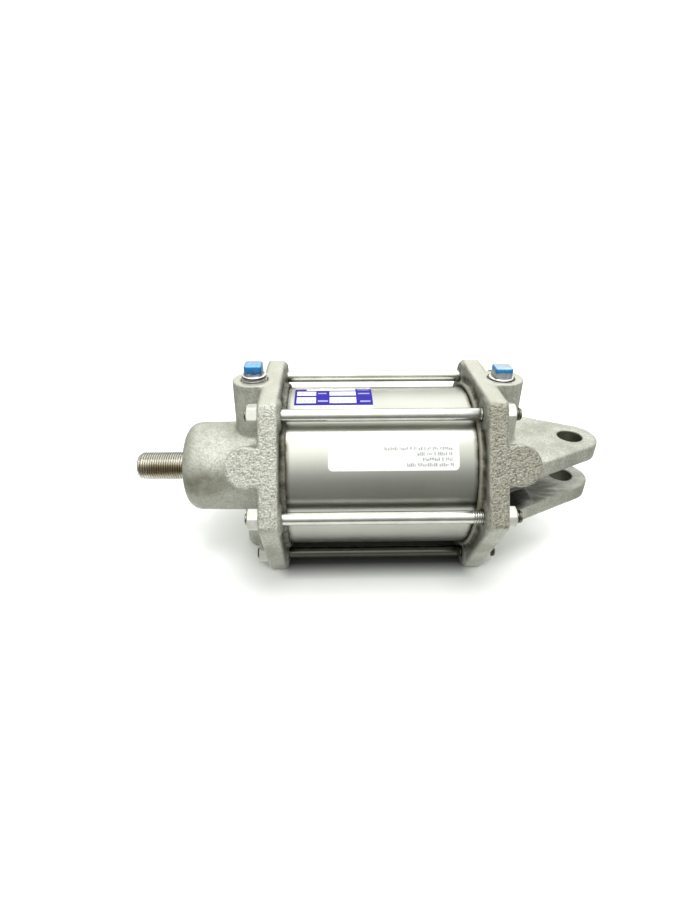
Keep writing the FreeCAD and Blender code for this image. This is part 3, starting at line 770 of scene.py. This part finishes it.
def barrel_material():
    """Drawn and lightly turned tube: fine marks run round it."""
    m = new_material("barrel_steel")
    marks = m.noise(1.0, 3, 0.6, stretch=(3200, 14, 14))
    clouds = m.noise(22, 4)
    base = m.spread(clouds, (0.405, 0.41, 0.37), (0.45, 0.455, 0.415))
    base = m.mix(m.times(m.ramp(marks, (0.36, 1.0), (0.56, 0.0)), 0.10), base, (0.33, 0.33, 0.29))
    x = m.along("X")
    rod_collar, cap_collar = box("rod_end_head")[1].x, box("cap_end_head")[0].x
    ends = m.math("ADD", m.slope(x, rod_collar + 2.6 * MM, rod_collar + 0.2 * MM),
                  m.slope(x, cap_collar - 2.6 * MM, cap_collar - 0.2 * MM))
    # Soiling and painted shade on the tube by the collars
    dirt_and_shade = m.times(ends, m.ramp(m.noise(130, 4), (0.36, 0.45), (0.6, 0.95)))
    base = m.mix(dirt_and_shade, base, (0.09, 0.08, 0.05))
    m.bump(marks, 0.05, 0.00003)
    rough = m.mix(0.5, m.ramp(marks, (0.3, 0.29), (0.7, 0.35)), m.ramp(clouds, (0.3, 0.29), (0.7, 0.34)))
    return m.finish(base, rough, 1.0, Anisotropic=0.3)


def tie_rod_material(name, inner_shade=0.0, bright=1.0, shade=(0.1, 0.1, 0.08)):
    """Drawn steel. bright is how much of its own colour shows, shade the colour of the painted shade over
    the rest.

    inner_shade is how dark the painted shade on the side that faces the barrel is.
    """
    m = new_material(name)
    drawn = m.noise(1.0, 3, 0.6, stretch=(12, 1500, 1500))
    stain = m.noise(90, 4)
    base = m.spread(stain, (0.50, 0.50, 0.46), (0.61, 0.61, 0.575), start=0.35)
    # Painted shade over all but the bright share of the rod
    base = m.mix(1 - bright, base, shade)
    # Painted shade on the side that faces the barrel
    across = m.add("Mapping", Vector=m.place, Scale=(0, 1, 1)).outputs["Vector"]
    inner = m.slope(m.measure("LENGTH", across), TIE_CIRCLE - 0.3 * MM, TIE_CIRCLE - 2.0 * MM)
    base = m.mix(m.times(inner, inner_shade), base, (0.06, 0.06, 0.045))
    # Painted shade in the thread's grooves and corners
    base = m.mix(m.times(m.crevices(0.38, 0.49), 0.5), base, (0.07, 0.065, 0.05))
    x = m.along("X")
    rod_face, cap_face = box("rod_end_tie_nuts")[0].x, box("cap_end_tie_nuts")[1].x
    studs = m.math("ADD", m.slope(x, rod_face + 0.3 * MM, rod_face),
                   m.slope(x, cap_face - 0.3 * MM, cap_face))
    oil = m.times(studs, m.ramp(stain, (0.36, 0.9), (0.62, 0.55)))
    base = m.mix(oil, base, (0.10, 0.085, 0.055))
    rough = m.mix(0.5, m.ramp(drawn, (0.3, 0.19), (0.7, 0.25)), m.ramp(stain, (0.3, 0.19), (0.7, 0.26)))
    return m.finish(base, rough, 1.0)


def rod_material():
    """Turned steel with painted shade in the thread's grooves, and brown film along the thread's front
    darkened as a painted reflection.
    """
    m = new_material("rod_steel")
    film = m.noise(55, 3, 0.5, stretch=(1.6, 1, 1))
    thread_end = box("piston_rod")[0].x + ROD_THREAD_LENGTH
    thread = m.spread(film, (0.50, 0.485, 0.43), (0.64, 0.63, 0.585), 0.36, 0.64)
    # Brown film along the thread's front, darkened as a painted reflection
    front = m.measure("DOT_PRODUCT", m.place, radial(ROD_DARK_BAND_ANGLE))
    band = m.slope(front, 0.82 * ROD_RADIUS, 0.95 * ROD_RADIUS)
    brown = m.spread(film, (0.24, 0.17, 0.075), (0.33, 0.29, 0.18), 0.4, 0.6)
    thread = m.mix(m.times(band, 0.85), thread, brown)
    clean = m.spread(film, (0.56, 0.55, 0.52), (0.62, 0.61, 0.585))
    base = m.mix(m.slope(m.along("X"), thread_end - 2 * MM, thread_end + 4 * MM), thread, clean)
    # Painted shade in the thread's grooves
    base = m.mix(m.times(m.crevices(0.36, 0.49), 0.65), base, (0.10, 0.085, 0.055))
    m.bump(m.noise(1700, 2), 0.06, 0.00003)
    return m.finish(base, m.ramp(film, (0.3, 0.30), (0.7, 0.24)), 1.0)


def nut_material():
    """Zinc plating, hazy on the flats and bright on worn edges."""
    m = new_material("plated_nut")
    haze = m.noise(260, 4)
    base = m.spread(haze, (0.50, 0.505, 0.45), (0.64, 0.645, 0.595), start=0.32)
    base = m.mix(m.times(m.edges(), 0.4), base, (0.92, 0.91, 0.88))
    m.bump(m.noise(900, 3), 0.12, 0.00005)
    return m.finish(base, m.ramp(haze, (0.3, 0.34), (0.7, 0.48)), 0.35)


def plug_material(name, collar_z, top_z, bare, top_wear_and_light, top_colour):
    """Plated plug with a blue-painted square head, its paint darkened towards the collar as painted shade.

    bare is the share of the head's height that has lost its paint, from the collar up. top_wear_and_light
    says how much of the top face changes, partly by wear and partly as painted sheen, and top_colour
    what shows there.
    """
    m = new_material(name)
    height = m.along("Z")
    ragged = m.math("SUBTRACT", m.noise(420, 3), 0.5, clamp=False)
    ragged = m.math("MULTIPLY", ragged, 3 * MM, clamp=False)
    level = m.math("ADD", height, ragged, clamp=False)
    start = collar_z + 0.9 * MM + bare * (top_z - collar_z)
    edge = m.slope(level, start, start + 0.5 * MM)
    crown = m.slope(height, top_z - 0.45 * MM, top_z - 0.2 * MM)
    patchy = m.ramp(m.noise(260, 3), (0.38, 1.0), (0.62, 0.55))
    # The top face: worn paint and a painted sheen
    lit_and_worn_top = m.times(m.times(crown, patchy), top_wear_and_light)
    # Painted shade: the blue goes darker towards the collar
    fade = m.slope(height, collar_z + 1.2 * MM, top_z - 1.5 * MM)
    paint = m.mix(fade, (0.012, 0.075, 0.26), (0.035, 0.26, 0.62))
    scuffs = m.times(m.ramp(m.noise(330, 4, 0.65), (0.5, 0.0), (0.66, 1.0)), 0.35)
    paint = m.mix(scuffs, paint, (0.30, 0.42, 0.56))
    metal = m.spread(m.noise(200, 4), (0.24, 0.27, 0.29), (0.42, 0.46, 0.49))
    # Soiling and painted shade at the foot of the head
    dirt_and_shade = m.times(m.ramp(m.noise(240, 3), (0.35, 1.0), (0.65, 0.5)),
                   m.slope(height, collar_z + 1.1 * MM, collar_z + 0.5 * MM))
    metal = m.mix(dirt_and_shade, metal, (0.16, 0.13, 0.085))
    # Painted highlight: a near-white ring at the collar's edge
    collar = m.slope(height, collar_z + 0.1 * MM, collar_z - 0.05 * MM)
    metal = m.mix(collar, metal, (0.93, 0.93, 0.91))
    # Painted shade in the gap under the lip
    gap = m.slope(height, collar_z - 0.5 * MM, collar_z - 0.8 * MM)
    metal = m.mix(gap, metal, (0.06, 0.06, 0.065))
    # Painted shade in the thread's grooves
    shank = m.slope(height, collar_z - 1.5 * MM, collar_z - 1.9 * MM)
    metal = m.mix(shank, metal, m.mix(m.crevices(0.40, 0.5), (0.50, 0.48, 0.46), (0.07, 0.07, 0.07)))
    base = m.mix(edge, metal, paint)
    smudge = m.ramp(m.noise(300, 2), (0.48, 0.0), (0.62, 0.6))
    base = m.mix(lit_and_worn_top, base, m.mix(smudge, top_colour, (0.52, 0.46, 0.44)))
    m.bump(m.noise(800, 3), 0.15, 0.00006)
    return m.finish(base, m.ramp(m.noise(240, 3), (0.3, 0.24), (0.7, 0.38)), 0.45)


def plain_metal(name, low, high, rough, metallic, grain, stretch=(1, 1, 1)):
    """Metal in shades from low to high, brighter on its edges."""
    m = new_material(name)
    field = m.noise(grain, 4, 0.6, stretch=stretch)
    base = m.spread(field, low, high)
    base = m.mix(m.times(m.edges(), 0.3), base, tuple(min(1.0, c * 1.35) for c in high))
    m.bump(m.noise(grain * 4, 3), 0.2, 0.00006)
    return m.finish(base, m.ramp(field, (0.3, rough[0]), (0.7, rough[1])), metallic)


def soft_material(name, low, high, rough, grain):
    """Rubber or plastic in shades from low to high."""
    m = new_material(name)
    field = m.noise(grain, 5, 0.6)
    base = m.spread(field, low, high)
    m.bump(m.noise(grain * 3, 4), 0.3, 0.00008)
    return m.finish(base, m.ramp(field, (0.3, rough - 0.08), (0.7, rough + 0.08)), 0.0)


def print_material(name, low, high, rough, gloss=0.5, metallic=0.0):
    """Printed foil or paper: an even ink with slight streaks."""
    m = new_material(name)
    field = m.noise(1.0, 4, 0.6, stretch=(160, 420, 420))
    base = m.spread(field, low, high)
    m.bump(m.noise(1200, 2), 0.1, 0.00003)
    roughness = m.ramp(field, (0.3, rough - 0.05), (0.7, rough + 0.06))
    return m.finish(base, roughness, metallic, Specular_IOR_Level=gloss)


ROD_END_CAST = cast_material("cast_rod_end", (0.68, 0.69, 0.62), 0.65, 0.25, 0.25, 0.05)
CAP_END_CAST = cast_material("cast_cap_end", (0.39, 0.375, 0.305), 0.7, 0.60, 0.6, 0.6)
BARREL = barrel_material()
TIE_ROD = tie_rod_material("tie_rod_steel")
SIDE_TIE_ROD = tie_rod_material("tie_rod_dirty_inside", inner_shade=0.85)
SHADED_TIE_ROD = tie_rod_material("tie_rod_dulled", bright=0.05, shade=(0.05, 0.053, 0.04))
ROD = rod_material()
NUT = nut_material()
RUBBER = soft_material("seal_rubber", (0.012, 0.012, 0.013), (0.035, 0.034, 0.033), 0.55, 400)
GASKET = soft_material("gasket_rubber", (0.05, 0.045, 0.038), (0.09, 0.082, 0.066), 0.7, 300)
NYLON = soft_material("wear_ring_plastic", (0.17, 0.14, 0.10), (0.27, 0.23, 0.17), 0.48, 250)
BRONZE = plain_metal("bearing_bronze", (0.42, 0.26, 0.11), (0.64, 0.44, 0.20), (0.25, 0.40), 1.0, 180,
                     stretch=(6, 1, 1))
IRON = plain_metal("piston_iron", (0.16, 0.16, 0.16), (0.30, 0.30, 0.29), (0.34, 0.5), 0.9, 220,
                   stretch=(6, 1, 1))
DARK = plain_metal("dark_steel", (0.06, 0.06, 0.065), (0.12, 0.12, 0.125), (0.32, 0.46), 0.85, 260)
INK_BLUE = print_material("plate_blue", (0.022, 0.012, 0.27), (0.034, 0.020, 0.34), 0.6, 0.15)
INK_DARK = print_material("plate_purple", (0.055, 0.008, 0.20), (0.08, 0.014, 0.26), 0.6, 0.15)
INK_PALE = print_material("plate_pale_print", (0.22, 0.22, 0.52), (0.34, 0.34, 0.62), 0.5)
INK_FAINT = print_material("plate_faint_print", (0.42, 0.38, 0.50), (0.56, 0.52, 0.60), 0.5)
INK_WARM = print_material("plate_warm_print", (0.50, 0.42, 0.40), (0.62, 0.54, 0.50), 0.5)
FOIL_WHITE = print_material("plate_white", (0.74, 0.74, 0.80), (0.86, 0.86, 0.90), 0.34)
FOIL = print_material("name_plate_foil", (0.56, 0.54, 0.50), (0.66, 0.64, 0.60), 0.30, metallic=0.8)
PAPER = print_material("label_paper", (0.82, 0.82, 0.82), (0.88, 0.88, 0.875), 0.42)
PRINT = print_material("label_print", (0.30, 0.315, 0.30), (0.46, 0.475, 0.46), 0.5)


def place_piece(obj, slot, nodes, *materials, body="cylinder"):
    """Puts a piece on its body and in place of its CAD nodes. slot is not used."""
    obj.data.materials.clear()
    for material in materials:
        obj.data.materials.append(material)
    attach(obj, body)
    if nodes:
        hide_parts(*nodes)


# Castings
place_piece(casting("cap_end_casting", "cap_end_head", 1, 0.65), "cast_head", ["cap_end_head"],
            CAP_END_CAST)
place_piece(casting("rod_end_casting", "rod_end_head", -1, 0.1), "cast_head", ["rod_end_head"],
            ROD_END_CAST)


# Barrel
def barrel():
    """The tube: out along its outside and back along its bore."""
    low, high = box("barrel_tube")
    outline = [(x, BARREL_RADIUS) for x in stations(low.x, high.x, 10 * MM)]
    outline += [(x, BARREL_RADIUS - BARREL_WALL) for x in stations(low.x, high.x, 40 * MM)[::-1]]
    rings = [[off_axis(x, radius, turn) for turn in full_turn(BARREL_SEGMENTS)] for x, radius in outline]
    obj = new_object("barrel_shell", grid_mesh("barrel_shell", rings, looped=True))
    keep_edges_sharp(obj, 40)
    return obj


place_piece(barrel(), "barrel_steel", ["barrel_tube"], BARREL)


# Tie rods and nuts
def tie_bar(name, node, cap_end_thread):
    low, high = box(node)
    place = middle(node)
    end_radius = TIE_RADIUS - TIE_CHAMFER
    outline = [(low.x, end_radius), (low.x + TIE_CHAMFER, TIE_RADIUS), (high.x - TIE_CHAMFER, TIE_RADIUS),
               (high.x, end_radius)]
    threads = [(low.x, low.x + ROD_END_TIE_THREAD, TIE_PITCH), (high.x - cap_end_thread, high.x, TIE_PITCH)]
    return turned_bar(name, Vector((0, place.y, place.z)), outline, threads, TIE_SEGMENTS)


# The two nearest the floor are painted in shade, and those in front and behind carry painted shade on their
# inner side
steels = (SIDE_TIE_ROD, TIE_ROD, TIE_ROD, SIDE_TIE_ROD, SHADED_TIE_ROD, SHADED_TIE_ROD)
for number, (thread, steel) in enumerate(zip(CAP_END_TIE_THREADS, steels), 1):
    node = "tie_rod_%d" % number
    place_piece(tie_bar("tie_bar_%d" % number, node, thread), "tie_rod_steel", [node], steel)

place_piece(nut_set("rod_end_nut_set", "rod_end_tie_nuts", -1, ROD_END_NUT_TURNS), "plated_nut",
            ["rod_end_tie_nuts"], NUT)
place_piece(nut_set("cap_end_nut_set", "cap_end_tie_nuts", 1, CAP_END_NUT_TURNS), "plated_nut",
            ["cap_end_tie_nuts"], NUT)


# Piston rod
def rod_outline():
    """(x, radius) of the CAD rod, read from its own corners."""
    seen = {}
    for vertex in frame["nodes"]["piston_rod"].data.vertices:
        radius = math.hypot(vertex.co.y, vertex.co.z)
        if radius > MM:
            seen.setdefault(round(vertex.co.x, 5), set()).add(round(radius, 5))
    outline = []
    for x in sorted(seen):
        radii = sorted(seen[x])
        if outline and abs(outline[-1][1] - radii[0]) > abs(outline[-1][1] - radii[-1]):
            radii.reverse()
        outline += [(x + step * 0.01 * MM, radius) for step, radius in enumerate(radii)]
    return outline


rod_low = box("piston_rod")[0].x
rod = turned_bar("threaded_piston_rod", Vector((0, 0, 0)), rod_outline(),
                 [(rod_low, rod_low + ROD_THREAD_LENGTH, ROD_PITCH)], ROUND_SEGMENTS)
keep_edges_sharp(rod, 60)
place_piece(rod, "rod_steel", ["piston_rod"], ROD, body="rod_and_piston")

# Plugs
for name, node, bare, top_wear_and_light, top_colour in (
        ("rod_end_square_plug", "rod_end_port_plug", 0.05, 0.75, (0.36, 0.58, 0.76)),
        ("cap_end_square_plug", "cap_end_port_plug", 0.42, 1.0, (0.50, 0.58, 0.55))):
    top_z = box(node)[1].z
    finish = plug_material(name + "_finish", top_z - PLUG_HEAD_HEIGHT, top_z, bare, top_wear_and_light, top_colour)
    place_piece(port_plug(name, node), "port_plug_steel", [node], finish)


# Name plate
def angle_of(point):
    return math.degrees(math.atan2(point.z, -point.y))


def patch_angles(node):
    angles = [angle_of(vertex.co) for vertex in frame["nodes"][node].data.vertices]
    return min(angles), max(angles)


def name_plate():
    """Foil plate in blocks: a purple heading, a pale strip, and white cells between blue ones."""
    low, high = box("name_plate")
    a_low, a_high = patch_angles("name_plate")
    length = high.x - low.x
    height = a_high - a_low
    ink_low, ink_high = a_low + PLATE_LOWER_MARGIN * height, a_high - PLATE_UPPER_MARGIN * height

    def across(share):
        return low.x + length * share

    def up(share):
        return ink_low + (ink_high - ink_low) * share

    # (left, right, bottom, top) shares of the printed area, and the ink's index
    cells = [(0.0, 1.0, 0.0, 1.0, 1), (0.0, 0.145, 0.86, 1.0, 2), (0.15, 0.79, 0.86, 0.985, 3),
             (0.03, 0.275, 0.10, 0.40, 3), (0.03, 0.275, 0.50, 0.78, 3),
             (0.45, 0.79, 0.10, 0.40, 3), (0.45, 0.79, 0.50, 0.78, 3),
             (0.30, 0.43, 0.16, 0.24, 4), (0.30, 0.41, 0.60, 0.68, 4),
             (0.84, 0.97, 0.14, 0.22, 4), (0.82, 0.97, 0.58, 0.66, 4), (0.82, 0.97, 0.88, 0.94, 4)]
    # Plain blocks stand for the print in the white cells and along the margin
    for left, bottom in ((0.05, 0.16), (0.05, 0.56), (0.47, 0.16), (0.47, 0.56)):
        for step in range(6):
            cells.append((left + 0.034 * step, left + 0.034 * step + 0.02, bottom, bottom + 0.12, 5))
    for step in range(14):
        cells.append((0.16 + 0.055 * step, 0.16 + 0.055 * step + 0.035, -0.11, -0.05, 6))
    inks = [FOIL, INK_BLUE, INK_DARK, FOIL_WHITE, INK_PALE, INK_FAINT, INK_WARM]
    xs = {low.x, high.x}
    angles = {a_low, a_high}
    for left, right, bottom, top, _ in cells:
        xs.update((round(across(left), 7), round(across(right), 7)))
        angles.update((round(up(bottom), 5), round(up(top), 5)))
    obj, top_count = wrapped_sheet("printed_name_plate", fill_in(xs, 3 * MM), fill_in(angles, 1.2), 0,
                                   PLATE_THICKNESS, rounded_corners(a_low, a_high, PLATE_CORNER))
    place_piece(obj, "name_plate_foil", ["name_plate"], *inks)
    for index, polygon in enumerate(obj.data.polygons):
        ink = 0
        if index < top_count:
            x, angle = polygon.center.x, angle_of(polygon.center)
            for left, right, bottom, top, chosen in cells:
                if across(left) < x < across(right) and up(bottom) < angle < up(top):
                    ink = chosen
        polygon.material_index = ink


def paper_label():
    """White label with rounded corners."""
    low, high = box("paper_label")
    a_low, a_high = patch_angles("paper_label")
    corner = corner_turn(LABEL_CORNER)
    rows = set(fill_in([a_low, a_low + corner, a_high - corner, a_high], 1.0))
    for step in range(9):
        turn = corner * (1 - math.cos(math.pi / 2 * step / 8))
        rows.update((a_low + turn, a_high - turn))
    sheet, _ = wrapped_sheet("white_label", stations(low.x, high.x, 4 * MM), sorted(rows), 0,
                             LABEL_THICKNESS, rounded_corners(a_low, a_high, LABEL_CORNER))
    place_piece(sheet, "label_paper", ["paper_label"], PAPER)


def label_dashes():
    """A few rows of plain grey dashes at the label's right end, in place of its print."""
    low, high = box("paper_label")
    a_low, a_high = patch_angles("paper_label")
    length = high.x - low.x
    height = a_high - a_low
    turn = height * DASH_HEIGHT
    draw = random.Random(SEED)
    dashes = bmesh.new()
    for row, start in enumerate(DASH_ROWS):
        top = a_high - height * (DASH_FIRST_TOP + DASH_ROW_STEP * row)
        x = low.x + start * length
        while x < low.x + DASH_LAST_START * length:
            end = min(x + draw.uniform(*DASH_WIDTHS) * MM, low.x + DASH_END * length)
            upper = top - turn * draw.choice((0, 0, 0.3))
            lower = top - turn * draw.choice((1, 1, 0.75))
            piece, _ = wrapped_sheet("dash", [x, end], [lower, upper], LABEL_THICKNESS, DASH_THICKNESS)
            dashes.from_mesh(piece.data)
            bpy.data.objects.remove(piece)
            x = end + draw.choice(DASH_GAPS) * MM
    mesh = bpy.data.meshes.new("label_dashes")
    dashes.to_mesh(mesh)
    dashes.free()
    place_piece(new_object("label_dashes", mesh, smooth=False), "label_paper", [], PRINT)


name_plate()
paper_label()
label_dashes()

# CAD nodes that stay
for material, nodes in (
        (RUBBER, ("rod_wiper", "rod_seal", "piston_seal_front", "piston_seal_rear", "piston_o_ring")),
        (GASKET, ("rod_end_barrel_gasket", "cap_end_barrel_gasket")),
        (BRONZE, ("rod_bushing",)),
        (NYLON, ("piston_wear_ring",)),
        (IRON, ("piston",)),
        (DARK, ("piston_nut", "seal_retaining_ring"))):
    for node in nodes:
        for slot in frame["nodes"][node].material_slots:
            slot.link = "OBJECT"
            slot.material = material


# Stage, lights and camera

def direction(azimuth, elevation):
    """Unit vector towards a place in the room. Azimuth 0 is in front (-Y), 90 at +X."""
    turn, rise = math.radians(azimuth), math.radians(elevation)
    return Vector((math.sin(turn) * math.cos(rise), -math.cos(turn) * math.cos(rise), math.sin(rise)))


def stage_material(name, colour, rough, glow=0.0):
    m = new_material(name)
    return m.finish((*colour, 1), rough, 0.0, Emission_Color=(1, 1, 1, 1), Emission_Strength=glow)


def floor_material(name, paper):
    """Pale paper with a painted contact shadow, almost black, between the heads and under the barrel."""
    m = new_material(name)
    low, high = box("barrel_tube")
    half = (high.x - low.x) / 2
    along = m.math("SUBTRACT", m.along("X"), (low.x + high.x) / 2, clamp=False)
    along = m.math("ABSOLUTE", along, clamp=False)
    across = m.math("ABSOLUTE", m.along("Y"), clamp=False)
    # Painted contact shadow between the heads and under the barrel
    dark = m.times(m.slope(along, half + SHADE_EDGE, half - SHADE_EDGE),
                   m.slope(across, SHADE_HALF_WIDTHS[1], SHADE_HALF_WIDTHS[0]))
    return m.finish(m.mix(m.times(dark, 0.94), paper, (0.02, 0.02, 0.018)), 0.6, 0.0)


def ring_sheet(name, inner, outer, z, segments=ROUND_SEGMENTS):
    """A flat ring, or a disc when inner is 0."""
    points = []
    for radius in (outer, inner):
        if radius:
            points += [(radius * math.cos(t), radius * math.sin(t), z) for t in full_turn(segments)]
    faces = [tuple(range(segments))]
    if inner:
        nexts = [(j + 1) % segments for j in range(segments)]
        faces = [(j, k, segments + k, segments + j) for j, k in enumerate(nexts)]
    mesh = bpy.data.meshes.new(name)
    mesh.from_pydata(points, [], faces)
    return new_object(name, mesh, smooth=False)


def dome(name, radius, steps=16, segments=32):
    """A closed shell round the whole scene."""
    rings = []
    for step in range(1, steps):
        lean = math.pi * step / steps
        level, reach = radius * math.cos(lean), radius * math.sin(lean)
        rings.append([Vector((reach * math.cos(t), reach * math.sin(t), level))
                      for t in full_turn(segments)])
    return new_object(name, grid_mesh(name, rings))


def only_seen_by(obj, ray):
    for kind in ("camera", "diffuse", "glossy", "transmission", "volume_scatter", "shadow"):
        setattr(obj, "visible_" + kind, kind == ray)


centre = (cad_box[0] + cad_box[1]) / 2
floor = ring_sheet("floor", 0, STAGE_RADIUS, FLOOR_Z - 0.05 * MM)
floor.data.materials.append(floor_material("floor_white", (0.95, 0.955, 0.95)))
floor.visible_diffuse = False
# The light the floor gives back, less than white paper would
bounce = ring_sheet("floor_bounce", 0, STAGE_RADIUS - 0.1, FLOOR_Z - 1 * MM)
bounce.data.materials.append(floor_material("floor_bounce_grey", (0.70, 0.705, 0.69)))
only_seen_by(bounce, "diffuse")
backdrop = dome("backdrop", STAGE_RADIUS)
backdrop.data.materials.append(stage_material("backdrop_white", (1, 1, 1), 1.0, glow=1.0))
only_seen_by(backdrop, "camera")
# The bare table round the white paper, which the metal reflects
table = ring_sheet("grey_table", PAPER_RADIUS, TABLE_RADIUS, FLOOR_Z + 0.5 * MM)
table.location = (centre.x, centre.y, 0)
table.data.materials.append(stage_material("table_grey", (0.14, 0.14, 0.13), 0.8))
only_seen_by(table, "glossy")

lamp = in_scene("top_lamp", bpy.data.lights.new("top_lamp", "SUN"))
lamp.data.angle = math.radians(LAMP_SPREAD)
lamp.data.energy = LAMP_STRENGTH
lamp.rotation_euler = (-direction(*LAMP_PLACE)).to_track_quat("-Z", "Y").to_euler()


def room_glow(name, colour):
    """Broad soft lights overhead, in front and behind, over a dim surround."""
    m = Nodes(bpy.data.worlds.new(name), "Background", "Generated")
    m.put(m.shader.inputs["Color"], (*colour, 1))
    glow = ROOM_GLOW
    for azimuth, elevation, strength in ROOM_LIGHTS:
        light = m.measure("DOT_PRODUCT", m.place, direction(azimuth, elevation))
        for operation, amount in (("MAXIMUM", 0), ("POWER", ROOM_LIGHT_FOCUS), ("MULTIPLY", strength),
                                  ("ADD", glow)):
            light = m.math(operation, light, amount, clamp=False)
        glow = light
    m.put(m.shader.inputs["Strength"], glow)
    return m.owner


scene.world = room_glow("studio", (0.985, 1, 0.965))
scene.view_settings.view_transform = "Standard"

camera = in_scene("camera", bpy.data.cameras.new("camera"))
camera.data.lens = CAMERA_LENS
camera.data.clip_start = 0.01
camera.data.clip_end = 100
camera.location = centre + CAMERA_PLACE
camera.rotation_euler = (math.pi / 2 - CAMERA_DIP, 0, CAMERA_TURN)
scene.camera = camera
